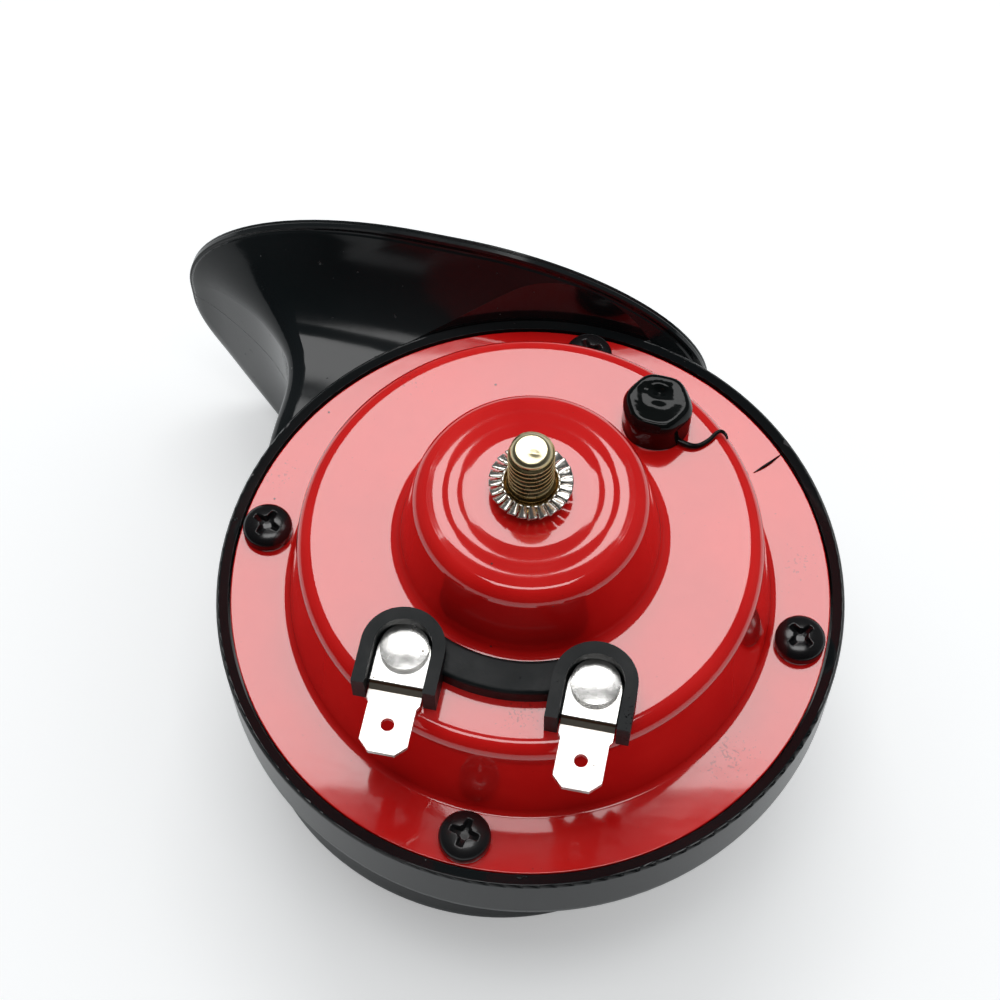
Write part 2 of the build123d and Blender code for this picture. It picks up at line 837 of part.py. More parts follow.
with BuildPart() as armature_nut:
    with BuildSketch(level(diaphragm_bottom - diaphragm_washer_thickness)):
        RegularPolygon(nut_flats / 2, 6, major_radius=False)
        Circle(armature_stem_radius + fit_clearance, mode=Mode.SUBTRACT)
    extrude(amount=-nut_thickness)
finish(armature_nut, "armature_nut")

# ---------------------------------------------------------------- coil
bobbin_bore_radius = core_radius + bobbin_clearance
bobbin_hub_radius = bobbin_bore_radius + bobbin_wall
winding_bottom_height = bobbin_bottom_height + bobbin_flange
winding_top_height = bobbin_top_height - bobbin_flange

with BuildPart() as coil_bobbin:
    with BuildSketch(level(bobbin_bottom_height)):
        Circle(bobbin_radius)
    extrude(amount=bobbin_flange)
    with BuildSketch(level(winding_top_height)):
        Circle(bobbin_radius)
    extrude(amount=bobbin_flange)
    with BuildSketch(level(winding_bottom_height)):
        Circle(bobbin_hub_radius)
    extrude(amount=winding_top_height - winding_bottom_height)
    with BuildSketch(level(bobbin_bottom_height)):
        Circle(bobbin_bore_radius)
    extrude(amount=bobbin_top_height - bobbin_bottom_height, mode=Mode.SUBTRACT)
finish(coil_bobbin, "coil_bobbin")

with BuildPart() as coil_winding:
    with BuildSketch(level(winding_bottom_height)):
        Circle(winding_radius)
        Circle(bobbin_hub_radius + fit_clearance, mode=Mode.SUBTRACT)
    extrude(amount=winding_top_height - winding_bottom_height)
finish(coil_winding, "coil_winding")

with BuildPart() as coil_retainer:
    with BuildSketch(level(bobbin_bottom_height)):
        Circle(retainer_radius)
        Circle(core_radius + fit_clearance, mode=Mode.SUBTRACT)
    extrude(amount=-retainer_thickness)
finish(coil_retainer, "coil_retainer")

# ---------------------------------------------------------------- breaker
# A riveted stack under the roof: two spring arms between insulating plates, held to a welded bracket.
# Sketches lie on a plane whose x axis runs from the horn's axis out through the adjusting screw.
middle_plate_height = fixed_arm_top
moving_arm_height = middle_plate_height + insulator_plate
moving_arm_top = moving_arm_height + moving_arm_thickness
bracket_height = moving_arm_top + insulator_plate
clamp_height = fixed_arm_height - insulator_plate - clamp_thickness
stack_place = (stack_inner + stack_outer) / 2
stack_length = stack_outer - stack_inner
stack_hole_radius = stack_rivet_radius + fit_clearance
stack_rivet_places = ((stack_place, -stack_rivet_spacing / 2), (stack_place, stack_rivet_spacing / 2))


def breaker_plane(height):
    """Horizontal plane on the axis with x along the line of the breaker."""
    return outward_plane(0, 0, height, adjuster_angle)


def plate(first, last, width):
    """Rectangle between two places along the breaker, drilled for the stack's rivets."""
    with Locations(((first + last) / 2, 0)):
        Rectangle(last - first, width)
    with Locations(*stack_rivet_places):
        Circle(stack_hole_radius, mode=Mode.SUBTRACT)


def arm_ear(side):
    """Soldering ear at one side of an arm, inside the stack's length."""
    with Locations((stack_place, side * (breaker_ear_start + breaker_ear_end) / 2)):
        Rectangle(breaker_ear_length, breaker_ear_end - breaker_ear_start)


with BuildPart() as breaker_bracket:
    with BuildSketch(breaker_plane(bracket_height)):
        plate(bracket_inner, bracket_outer, bracket_width)
        with Locations((adjuster_radius, 0)):
            Circle(adjuster_shank_radius + fit_clearance, mode=Mode.SUBTRACT)
    extrude(amount=roof_height - bracket_height)
finish(breaker_bracket, "breaker_bracket")

with BuildPart() as breaker_insulators:
    for height in (moving_arm_top, middle_plate_height, fixed_arm_height - insulator_plate):
        with BuildSketch(breaker_plane(height)):
            plate(stack_inner, stack_outer, stack_width)
        extrude(amount=insulator_plate)
finish(breaker_insulators, "breaker_insulators")

with BuildPart() as fixed_contact_arm:
    with BuildSketch(breaker_plane(fixed_arm_height)):
        arm_ear(-1)
        plate(fixed_arm_tip, fixed_arm_tail, arm_width)
        with Locations(*stack_rivet_places):
            Circle(stack_hole_radius, mode=Mode.SUBTRACT)
    extrude(amount=fixed_arm_thickness)
finish(fixed_contact_arm, "fixed_contact_arm")

# The moving arm dips from the stack to just over the armature, which lifts it to open the contacts.
tip_height = armature_top + arm_lift_gap

with BuildPart() as moving_contact_arm:
    with BuildSketch(Plane(breaker_plane(0).origin, x_dir=breaker_plane(0).x_dir, z_dir=-breaker_plane(0).y_dir)):
        with BuildLine():
            Polyline(
                (arm_tip, tip_height),
                (arm_bend_end, tip_height),
                (arm_bend_start, moving_arm_height),
                (stack_outer, moving_arm_height),
                (stack_outer, moving_arm_top),
                (arm_bend_start, moving_arm_top),
                (arm_bend_end, tip_height + moving_arm_thickness),
                (arm_tip, tip_height + moving_arm_thickness),
                close=True,
            )
        make_face()
    extrude(amount=arm_width / 2, both=True)
    with BuildSketch(breaker_plane(moving_arm_height)):
        arm_ear(1)
    extrude(amount=moving_arm_thickness)
    with BuildSketch(breaker_plane(moving_arm_height)):
        with Locations(*stack_rivet_places):
            Circle(stack_hole_radius)
    extrude(amount=moving_arm_thickness, mode=Mode.SUBTRACT)
finish(moving_contact_arm, "moving_contact_arm")

with BuildPart() as fixed_contact:
    with BuildSketch(breaker_plane(fixed_arm_top)):
        with Locations((contact_place, 0)):
            Circle(contact_radius)
    extrude(amount=contact_thickness)
finish(fixed_contact, "fixed_contact")

with BuildPart() as moving_contact:
    with BuildSketch(breaker_plane(moving_arm_height)):
        with Locations((contact_place, 0)):
            Circle(contact_radius)
    extrude(amount=-contact_thickness)
finish(moving_contact, "moving_contact")

with BuildPart() as clamp_plate:
    with BuildSketch(breaker_plane(clamp_height)):
        plate(stack_inner, stack_outer, stack_width)
    extrude(amount=clamp_thickness)
finish(clamp_plate, "clamp_plate")

with BuildPart() as breaker_rivets:
    with BuildSketch(breaker_plane(clamp_height)):
        with Locations(*stack_rivet_places):
            Circle(stack_rivet_radius)
    extrude(amount=roof_height - clamp_height)
    with BuildSketch(breaker_plane(clamp_height)):
        with Locations(*stack_rivet_places):
            Circle(stack_rivet_head_radius)
    extrude(amount=-stack_rivet_head_height)
finish(breaker_rivets, "breaker_rivets")

# ---------------------------------------------------------------- inner terminal plate, tags and leads
with BuildPart() as inner_insulator:
    with BuildSketch(level(roof_height)):
        with BuildLine():
            arc_band(
                terminal_radius - inner_plate_band / 2,
                terminal_radius + inner_plate_band / 2,
                terminal_axis,
                terminal_spread + inner_plate_overhang,
            )
        make_face()
        with PolarLocations(terminal_radius, 1, start_angle=terminal_axis - terminal_spread):
            Circle(rivet_hole_radius, mode=Mode.SUBTRACT)
        with PolarLocations(terminal_radius, 1, start_angle=terminal_axis + terminal_spread):
            Circle(rivet_hole_radius, mode=Mode.SUBTRACT)
    extrude(amount=-inner_plate_thickness)
finish(inner_insulator, "inner_insulator")

left_angle = terminal_axis - terminal_spread
right_angle = terminal_axis + terminal_spread
left_tag_plane = outward_plane(terminal_radius, left_angle, tag_bottom_height, left_angle + 180)
right_tag_plane = outward_plane(terminal_radius, right_angle, tag_bottom_height, right_angle + 90)

with BuildPart() as solder_tags:
    with BuildSketch(left_tag_plane, right_tag_plane):
        Circle(tag_radius)
        with Locations((tag_ear_reach / 2, 0)):
            Rectangle(tag_ear_reach, tag_ear_width)
        Circle(rivet_hole_radius, mode=Mode.SUBTRACT)
    extrude(amount=tag_thickness)
finish(solder_tags, "solder_tags")

# Leads are round wires that lie against the tags and ears they are soldered to.
lead_ring = winding_radius + lead_radius
lead_start_height = winding_bottom_height + lead_radius + lead_flange_gap
tag_lead_height = tag_bottom_height - lead_radius
ear_angle = adjuster_angle + ear_turn
ear_lead_height = moving_arm_top + lead_radius
supply_start_angle = adjuster_angle - ear_turn
supply_height = fixed_arm_top + lead_radius

with BuildPart() as coil_lead:
    with BuildLine() as coil_lead_path:
        FilletPolyline(
            at_polar(lead_ring, left_angle, lead_start_height),
            at_polar(lead_ring + 3.0, left_angle, lead_start_height),
            at_polar(lead_ring + 4.6, left_angle, tag_lead_height),
            at_polar(terminal_radius - rivet_foot_radius - 0.4, left_angle, tag_lead_height),
            radius=lead_bend,
        )
    with BuildSketch(Plane(coil_lead_path.line @ 0, z_dir=coil_lead_path.line % 0)):
        Circle(lead_radius)
    sweep()
finish(coil_lead, "coil_lead")

with BuildPart() as contact_lead:
    with BuildLine() as contact_lead_path:
        FilletPolyline(
            at_polar(lead_ring, ear_angle, lead_start_height),
            at_polar(lead_ring + 3.0, ear_angle, lead_start_height),
            at_polar(lead_ring + 4.6, ear_angle, ear_lead_height),
            at_polar(stack_outer - 0.6, ear_angle, ear_lead_height),
            radius=lead_bend,
        )
    with BuildSketch(Plane(contact_lead_path.line @ 0, z_dir=contact_lead_path.line % 0)):
        Circle(lead_radius)
    sweep()
finish(contact_lead, "contact_lead")

# The supply lead runs round under the roof from the fixed arm's ear to the right tag.
with BuildPart() as supply_lead:
    with BuildLine() as supply_path:
        FilletPolyline(
            at_polar(stack_outer - 0.6, supply_start_angle, supply_height),
            at_polar(supply_ring, supply_start_angle - 8, supply_height),
            at_polar(supply_ring, supply_start_angle - 28, supply_height),
            at_polar(supply_ring, supply_start_angle - 48, supply_height),
            at_polar(supply_ring, supply_start_angle - 64, supply_height),
            at_polar(terminal_radius, right_angle + 16, tag_lead_height),
            at_polar(terminal_radius, right_angle + 7, tag_lead_height),
            radius=lead_bend,
        )
    with BuildSketch(Plane(supply_path.line @ 0, z_dir=supply_path.line % 0)):
        Circle(lead_radius)
    sweep()
finish(supply_lead, "supply_lead")
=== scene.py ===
"""Electric snail horn for a vehicle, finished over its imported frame. Metres; sizes are given in millimetres."""
import math

import bmesh
import bpy
from mathutils import Matrix, Vector


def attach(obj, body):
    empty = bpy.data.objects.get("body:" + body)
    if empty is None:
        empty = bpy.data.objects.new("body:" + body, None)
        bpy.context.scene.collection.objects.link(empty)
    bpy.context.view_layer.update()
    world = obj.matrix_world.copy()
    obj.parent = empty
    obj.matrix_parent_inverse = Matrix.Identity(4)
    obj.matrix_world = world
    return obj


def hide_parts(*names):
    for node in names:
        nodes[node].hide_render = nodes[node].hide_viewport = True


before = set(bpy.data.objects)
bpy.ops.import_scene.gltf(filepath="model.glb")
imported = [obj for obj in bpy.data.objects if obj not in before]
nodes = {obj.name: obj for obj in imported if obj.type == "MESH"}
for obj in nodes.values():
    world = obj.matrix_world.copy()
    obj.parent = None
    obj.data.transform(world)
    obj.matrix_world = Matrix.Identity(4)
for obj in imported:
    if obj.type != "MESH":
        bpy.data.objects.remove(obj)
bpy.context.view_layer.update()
MM = 0.001

# ------------------------------------------------------------------ camera
# A long lens looks down on the terminals' side, a little right of the stud.
camera_data = bpy.data.cameras.new("camera")
camera_data.lens = 79.2
camera_data.sensor_width = 36.0
camera_data.clip_start = 0.01
camera = bpy.data.objects.new("camera", camera_data)
bpy.context.scene.collection.objects.link(camera)
look_from = Vector((0.02902, -0.13090, 0.24723))
look_right = Vector((0.972681, 0.232028, -0.007391))
look_down = Vector((0.201595, -0.860036, -0.468720))
look_ahead = Vector((-0.115112, 0.454425, -0.883316))
turned = Matrix((look_right, -look_down, -look_ahead)).transposed().to_4x4()
camera.matrix_world = Matrix.Translation(look_from) @ turned
bpy.context.scene.camera = camera


# ------------------------------------------------------------------ studio
# A white table under a surround that is bright behind the object and dim in front of it, with one soft box
# over the far side of the table and one overhead.
def add_node(tree, kind, links=(), **values):
    """New node; links are (input, node or output) pairs, and an in_ value sets the input of that number."""
    made = tree.nodes.new(kind)
    for key, value in values.items():
        if key.startswith("in_"):
            made.inputs[int(key[3:])].default_value = value
        else:
            setattr(made, key, value)
    for index, source in links:
        tree.links.new(source.outputs[0] if isinstance(source, bpy.types.Node) else source, made.inputs[index])
    return made


def maths(tree, operation, *terms, **values):
    """New maths node whose terms are nodes, outputs or numbers."""
    numbers = {f"in_{index}": term for index, term in enumerate(terms) if isinstance(term, (int, float))}
    links = [(index, term) for index, term in enumerate(terms) if f"in_{index}" not in numbers]
    return add_node(tree, "ShaderNodeMath", links, operation=operation, **numbers, **values)


FLOOR_HEIGHT = -73.0 * MM
FLOOR_SIZE = 3.0
FLOOR_LIFT = 0.34
SURROUND_BACK = 0.78
SURROUND_FRONT = 0.10
SURROUND_GLOSS = 0.10  # share of the surround that gloss shows, as if dark flags stood between the soft boxes
BOX_DISTANCE = 0.9
SOFT_BOXES = {  # azimuth, elevation, width and height in degrees, then brightness
    "far_box": (103.0, 62.9, 32.0, 15.4, 4.4),
    "near_box": (285.0, 84.5, 30.0, 15.0, 4.3),
}

bpy.ops.mesh.primitive_plane_add(size=FLOOR_SIZE, location=(0, 0, FLOOR_HEIGHT))
floor = bpy.context.object
floor.name = "table"
floor_material = bpy.data.materials.new("table_white")
floor_material.use_nodes = True
floor_tree = floor_material.node_tree
floor_shader = floor_tree.nodes["Principled BSDF"]
floor_shader.inputs["Base Color"].default_value = (0.86, 0.875, 0.88, 1)
floor_shader.inputs["Roughness"].default_value = 0.9
floor_shader.inputs["Emission Color"].default_value = (1, 1, 1, 1)
floor_rays = add_node(floor_tree, "ShaderNodeLightPath")
floor_lift = maths(floor_tree, "MULTIPLY", floor_rays.outputs["Is Camera Ray"], FLOOR_LIFT)
floor_tree.links.new(floor_lift.outputs[0], floor_shader.inputs["Emission Strength"])
floor.data.materials.append(floor_material)

world = bpy.data.worlds.new("studio")
bpy.context.scene.world = world
world.use_nodes = True
sky = world.node_tree
surround = sky.nodes["Background"]
surround.inputs["Color"].default_value = (0.97, 0.985, 1.0, 1)
toward_sky = add_node(sky, "ShaderNodeTexCoord")
sky_parts = add_node(sky, "ShaderNodeSeparateXYZ", ((0, toward_sky.outputs["Generated"]),))
fall_off = add_node(
    sky, "ShaderNodeMapRange", ((0, sky_parts.outputs["Y"]),), interpolation_type="SMOOTHSTEP",
    in_1=-0.7, in_2=0.5, in_3=SURROUND_FRONT, in_4=SURROUND_BACK,
)
light_path = add_node(sky, "ShaderNodeLightPath")
glossy = light_path.outputs["Is Glossy Ray"]
flags = add_node(sky, "ShaderNodeMapRange", ((0, glossy),), in_3=1.0, in_4=SURROUND_GLOSS)
flagged = maths(sky, "MULTIPLY", fall_off, flags)
choose = add_node(sky, "ShaderNodeMix", (("Factor", light_path.outputs["Is Camera Ray"]), ("A", flagged)), in_3=1.0)
sky.links.new(choose.outputs["Result"], surround.inputs["Strength"])

for name, (azimuth, elevation, wide, high, brightness) in SOFT_BOXES.items():
    lamp_data = bpy.data.lights.new(name, "AREA")
    lamp_data.shape = "RECTANGLE"
    lamp_data.size = 2 * BOX_DISTANCE * math.tan(math.radians(wide / 2))
    lamp_data.size_y = 2 * BOX_DISTANCE * math.tan(math.radians(high / 2))
    lamp_data.energy = brightness * math.pi * lamp_data.size * lamp_data.size_y
    lamp = bpy.data.objects.new(name, lamp_data)
    bpy.context.scene.collection.objects.link(lamp)
    a, e = math.radians(azimuth), math.radians(elevation)
    toward = Vector((math.cos(e) * math.cos(a), math.cos(e) * math.sin(a), math.sin(e)))
    lamp.location = toward * BOX_DISTANCE
    lamp.rotation_euler = toward.to_track_quat("Z", "Y").to_euler()

bpy.context.scene.view_settings.view_transform = "Standard"


# ------------------------------------------------------------------ housing
# Deep-drawn steel in a thick gloss red enamel, with the faint orange peel of spray, a few dust specks and
# light handling scuffs. It is punched for its screws and terminals, and its flange is screwed to the case.
def socket_group(name, inputs, outputs, kind="ShaderNodeTree"):
    """New node group with its sockets; gives the tree, what its users give it and the result it hands back."""
    tree = bpy.data.node_groups.new(name, kind)
    for label, socket_type, value in inputs:
        socket = tree.interface.new_socket(label, in_out="INPUT", socket_type=socket_type)
        if value is not None:
            socket.default_value = value
    for label, socket_type in outputs:
        tree.interface.new_socket(label, in_out="OUTPUT", socket_type=socket_type)
    return tree, tree.nodes.new("NodeGroupInput").outputs, tree.nodes.new("NodeGroupOutput").inputs


# Mottle: two colours drift into each other, with a roughness that drifts too.
mottle, given, result = socket_group(
    "mottle",
    (
        ("Scale", "NodeSocketFloat", 120.0),
        ("Colour A", "NodeSocketColor", (0.5, 0.5, 0.5, 1)),
        ("Colour B", "NodeSocketColor", (0.6, 0.6, 0.6, 1)),
        ("Rough Low", "NodeSocketFloat", 0.2),
        ("Rough High", "NodeSocketFloat", 0.3),
    ),
    (("Color", "NodeSocketColor"), ("Roughness", "NodeSocketFloat")),
)
place = add_node(mottle, "ShaderNodeTexCoord").outputs["Object"]
drift = add_node(mottle, "ShaderNodeTexNoise", ((0, place), (2, given["Scale"])))
drift.inputs["Detail"].default_value = 6.0
spread = add_node(mottle, "ShaderNodeMapRange", ((0, drift),), in_1=0.35, in_2=0.65)
blend = add_node(
    mottle, "ShaderNodeMix", ((0, spread), ("A", given["Colour A"]), ("B", given["Colour B"])), data_type="RGBA"
)
sheen = add_node(
    mottle, "ShaderNodeMapRange", ((0, drift), (3, given["Rough Low"]), (4, given["Rough High"])), in_1=0.3, in_2=0.7
)
mottle.links.new(blend.outputs["Result"], result["Color"])
mottle.links.new(sheen.outputs[0], result["Roughness"])

# Specks: small round spots at random places, over a share of the cells.
specks, given, result = socket_group(
    "specks",
    (("Scale", "NodeSocketFloat", 300.0), ("Size", "NodeSocketFloat", 0.2), ("Share", "NodeSocketFloat", 0.1)),
    (("Mask", "NodeSocketFloat"),),
)
place = add_node(specks, "ShaderNodeTexCoord").outputs["Object"]
cells = add_node(specks, "ShaderNodeTexVoronoi", ((0, place), (2, given["Scale"])))
near = maths(specks, "LESS_THAN", cells.outputs["Distance"], given["Size"])
dice = add_node(specks, "ShaderNodeSeparateColor", ((0, cells.outputs["Color"]),))
few = maths(specks, "LESS_THAN", dice, given["Share"])
both = maths(specks, "MULTIPLY", near, few)
specks.links.new(both.outputs[0], result["Mask"])

# Ripple: the height of a fine uneven skin, such as orange peel, moulding texture or brushing.
ripple, given, result = socket_group(
    "ripple",
    (
        ("Scale", "NodeSocketFloat", 500.0),
        ("Detail", "NodeSocketFloat", 2.0),
        ("Stretch", "NodeSocketVector", (1.0, 1.0, 1.0)),
    ),
    (("Height", "NodeSocketFloat"),),
)
place = add_node(ripple, "ShaderNodeTexCoord").outputs["Object"]
pulled = add_node(ripple, "ShaderNodeVectorMath", ((0, place), (1, given["Stretch"])), operation="MULTIPLY")
skin = add_node(ripple, "ShaderNodeTexNoise", ((0, pulled), (2, given["Scale"]), (3, given["Detail"])))
ripple.links.new(skin.outputs[0], result["Height"])

# Patch: a cloud of fine marks round a place, densest at its middle.
patch, given, result = socket_group(
    "patch",
    (
        ("Middle", "NodeSocketVector", (0.0, 0.0, 0.0)),
        ("Reach", "NodeSocketFloat", 0.004),
        ("Scale", "NodeSocketFloat", 1500.0),
        ("Cover", "NodeSocketFloat", 0.3),
    ),
    (("Mask", "NodeSocketFloat"),),
)
place = add_node(patch, "ShaderNodeTexCoord").outputs["Object"]
away = add_node(patch, "ShaderNodeVectorMath", ((0, place), (1, given["Middle"])), operation="DISTANCE")
reach_share = maths(patch, "DIVIDE", away.outputs["Value"], given["Reach"], use_clamp=True)
closeness = maths(patch, "SUBTRACT", 1.0, reach_share)
crumbs = add_node(patch, "ShaderNodeTexNoise", ((0, place), (2, given["Scale"])))
crumbs.inputs["Detail"].default_value = 4.0
limit = maths(patch, "MULTIPLY", closeness, given["Cover"])
sum_up = maths(patch, "ADD", crumbs, limit)
cut = add_node(patch, "ShaderNodeMapRange", ((0, sum_up),), in_1=0.72, in_2=0.78)
patch.links.new(cut.outputs[0], result["Mask"])


def finish_material(
    name, colours, rough, scale=120.0, peel=(500.0, 2.0, 0.02), dust=None, stretch=(1, 1, 1), **plain
):
    """Material with mottled colour and roughness, a fine skin, and specks where asked for.

    peel is the skin's scale, detail and depth in millimetres; dust is its scale, size, share and colour; the
    rest are values of the Principled BSDF's own sockets.
    """
    material = bpy.data.materials.new(name)
    material.use_nodes = True
    tree = material.node_tree
    shader = tree.nodes["Principled BSDF"]
    for label, value in plain.items():
        shader.inputs[label.replace("_", " ")].default_value = value
    (colour_a, colour_b), (rough_low, rough_high) = colours, rough
    tone = place_group(
        material, mottle, Scale=scale, Colour_A=(*colour_a, 1), Colour_B=(*colour_b, 1),
        Rough_Low=rough_low, Rough_High=rough_high,
    )
    tree.links.new(tone.outputs["Color"], shader.inputs["Base Color"])
    tree.links.new(tone.outputs["Roughness"], shader.inputs["Roughness"])
    skin_scale, detail, depth = peel
    height = place_group(material, ripple, Scale=skin_scale, Detail=detail, Stretch=stretch)
    bump = add_node(tree, "ShaderNodeBump", (("Height", height),))
    bump.inputs["Distance"].default_value = depth * MM
    tree.links.new(bump.outputs["Normal"], shader.inputs["Normal"])
    if dust:
        speck_scale, size, share, colour = dust
        specked = place_group(material, specks, Scale=speck_scale, Size=size, Share=share)
        lay_over(material, specked, colour=colour, rough=0.6)
    return material


def place_group(material, group, **values):
    """Node of a shader group placed in a material with its own values."""
    made = add_node(material.node_tree, "ShaderNodeGroup", node_tree=group)
    for label, value in values.items():
        made.inputs[label.replace("_", " ")].default_value = value
    return made


def lay_over(material, mask, colour=None, rough=None):
    """Lay a colour, a roughness or both over the material where the mask is one."""
    tree = material.node_tree
    shader = tree.nodes["Principled BSDF"]
    for label, value in (("Base Color", colour), ("Roughness", rough)):
        if value is None:
            continue
        socket = shader.inputs[label]
        kind, upper = ("RGBA", (*value, 1)) if label == "Base Color" else ("FLOAT", value)
        over = add_node(tree, "ShaderNodeMix", ((0, mask),), data_type=kind)
        lower = [entry for entry in over.inputs if entry.name == "A" and entry.enabled][0]
        above = [entry for entry in over.inputs if entry.name == "B" and entry.enabled][0]
        tree.links.new(socket.links[0].from_socket, lower)
        above.default_value = upper
        tree.links.new([entry for entry in over.outputs if entry.enabled][0], socket)


def dress(material, *names):
    """Give frame nodes their finished material."""
    for name in names:
        mesh = nodes[name].data
        mesh.materials.clear()
        mesh.materials.append(material)


FLANGE_TOP = -31.0  # every height over the flange is this much lower in the frame
ANNULUS_TOP = FLANGE_TOP + 15.7

red_enamel = finish_material(
    "red_enamel",
    ((0.66, 0.008, 0.008), (0.76, 0.014, 0.012)),
    (0.07, 0.13),
    scale=60.0,
    peel=(420.0, 1.0, 0.010),
    dust=(800.0, 0.13, 0.006, (0.10, 0.006, 0.006)),
    Coat_Weight=1.0,
    Coat_Roughness=0.03,
)
SCUFFS = (  # middle, reach and cover
    ((4.5, -25.5, ANNULUS_TOP), 5.0, 0.20),
    ((31.5, -19.0, FLANGE_TOP), 7.0, 0.20),
    ((-39.0, 9.0, FLANGE_TOP), 5.0, 0.16),
    ((-22.0, 20.0, ANNULUS_TOP), 6.0, 0.14),
    ((36.0, 12.0, FLANGE_TOP), 5.0, 0.16),
)
for middle, reach, cover in SCUFFS:
    scuff = place_group(
        red_enamel, patch, Middle=[value * MM for value in middle], Reach=reach * MM, Scale=2600.0, Cover=cover
    )
    lay_over(red_enamel, scuff, colour=(0.46, 0.006, 0.006), rough=0.2)


def rounded_line(corners, steps=8):
    """Points of a line through (radius, height, fillet) corners, each corner rounded by its fillet."""
    line = [corners[0][:2]]
    for before, corner, after in zip(corners, corners[1:], corners[2:]):
        middle = Vector(corner[:2])
        back, ahead = (Vector(before[:2]) - middle).normalized(), (Vector(after[:2]) - middle).normalized()
        half = back.angle(ahead) / 2
        centre = middle + (back + ahead).normalized() * corner[2] / math.sin(half)
        start, end = middle + back * corner[2] / math.tan(half), middle + ahead * corner[2] / math.tan(half)
        for step in range(steps + 1):
            spoke = (start - centre).lerp(end - centre, step / steps).normalized() * corner[2]
            line.append(tuple(centre + spoke))
    line.append(corners[-1][:2])
    return line


def finely(line, longest=0.22, low=7.6, high=14.4):
    """The same line with more points between two radii, and a point near both ends of every long run."""
    fine = [line[0]]
    for before, after in zip(line, line[1:]):
        length = math.dist(before, after)
        shares = [1.0]
        if low < (before[0] + after[0]) / 2 < high:
            parts = max(1, math.ceil(length / longest))
            shares = [part / parts for part in range(1, parts + 1)]
        elif length > LONG_RUN:
            shares = [NEAR_END / length, 1 - NEAR_END / length, 1.0]
        for share in shares:
            fine.append(tuple(b + (a - b) * share for a, b in zip(after, before)))
    return fine


SHEET, LONG_RUN, NEAR_END = 1.2, 0.6, 0.08
HOUSING_COUNT = 192
HOUSING_LINE = (  # radius, height over the flange, and fillet of each corner of the outer face
    (41.9, 0.0, 0), (33.7, 0.0, 0.9), (31.2, 15.7, 2.2), (17.6, 15.7, 1.6), (15.2, 27.5, 2.6), (8.2, 28.3, 4.0),
    (3.65, 28.3, 0),
)
RIM_EDGE = ((41.97, 0.03 - SHEET), (42.0, 0.1 - SHEET), (42.0, -0.1), (41.97, -0.03))  # radius and height
WAVE_START, WAVE_END, WAVE_COUNT, WAVE_DEPTH = 8.6, 13.6, 2.5, 0.045
BOSS_LEVEL = 20.0
SCREW_CIRCLE, SCREW_BORE, SCREW_ANGLES = 38.2, 2.1, (0.0, 90.0, 180.0, 270.0)
TERMINAL_CIRCLE, BUSH_BORE, TERMINAL_ANGLES = 24.2, 2.15, (-119.2, -56.8)
TONE_CIRCLE, TONE_BORE, TONE_ANGLE = 24.6, 2.6, 58.5
PUNCH_COUNT, PUNCH_BELOW, PUNCH_ABOVE = 48, 4.0, 3.0
WELD, SHARP_ANGLE = 0.002, 55


def claim(piece, node=None):
    """Put a finished piece on the housing and the node that it stands for."""
    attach(piece, "housing")
    if node:
        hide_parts(node)


def new_piece(name, points, faces, material, slot=None, node=None):
    """Closed mesh in millimetres, with its faces turned outwards; with a slot it is a piece of the housing."""
    volume = 0.0
    for face in faces:
        for second, third in zip(face[1:-1], face[2:]):
            volume += Vector(points[face[0]]).dot(Vector(points[second]).cross(Vector(points[third])))
    if volume < 0:
        faces = [tuple(reversed(face)) for face in faces]
    mesh = bpy.data.meshes.new(name)
    mesh.from_pydata([(x * MM, y * MM, z * MM) for x, y, z in points], [], faces)
    mesh.polygons.foreach_set("use_smooth", [True] * len(faces))
    mesh.update()
    mesh.materials.append(material)
    piece = bpy.data.objects.new(name, mesh)
    bpy.context.scene.collection.objects.link(piece)
    if slot:
        claim(piece, node)
    return piece


def skin_over(rings, first_pole=None, last_pole=None):
    """Points and faces of a skin through rings of equal count, closed by a pole or back to the first ring."""
    count = len(rings[0])
    points = [point for ring in rings for point in ring]
    faces = []
    pairs = [(row, row + 1) for row in range(len(rings) - 1)]
    if first_pole is None:
        pairs.append((len(rings) - 1, 0))
    for lower, upper in pairs:
        for step in range(count):
            after = (step + 1) % count
            faces.append((lower * count + step, lower * count + after, upper * count + after, upper * count + step))
    if first_pole is not None:
        points.append(first_pole)
        faces += [((step + 1) % count, step, len(points) - 1) for step in range(count)]
        points.append(last_pole)
        start = (len(rings) - 1) * count
        faces += [(start + step, start + (step + 1) % count, len(points) - 1) for step in range(count)]
    return points, faces


def turned_ring(radius, height, count):
    """Ring of points round the axis; the radius and the height may be functions of the angle."""
    ring = []
    for step in range(count):
        angle = 2 * math.pi * step / count
        r = radius(angle) if callable(radius) else radius
        z = height(angle) if callable(height) else height
        ring.append((r * math.cos(angle), r * math.sin(angle), z))
    return ring


outer_line = finely(rounded_line(HOUSING_LINE))
inner_line = []
for index, point in enumerate(outer_line):
    run = Vector(outer_line[min(index + 1, len(outer_line) - 1)]) - Vector(outer_line[max(index - 1, 0)])
    down = Vector((run.y, -run.x)).normalized() * -SHEET
    inner_line.append((point[0] + down.x, point[1] + down.y))
inner_line[0] = (HOUSING_LINE[0][0], HOUSING_LINE[0][1] - SHEET)
inner_line[-1] = (HOUSING_LINE[-1][0], HOUSING_LINE[-1][1] - SHEET)
pressed_line = []
for radius, height in outer_line:
    share = (radius - WAVE_START) / (WAVE_END - WAVE_START)
    if 0 < share < 1 and height > BOSS_LEVEL:
        wave = 0.5 - 0.5 * math.cos(2 * math.pi * WAVE_COUNT * share)
        height -= WAVE_DEPTH * math.sin(math.pi * share) ** 0.5 * wave
    pressed_line.append((radius, height))
housing_section = pressed_line + inner_line[::-1] + list(RIM_EDGE)
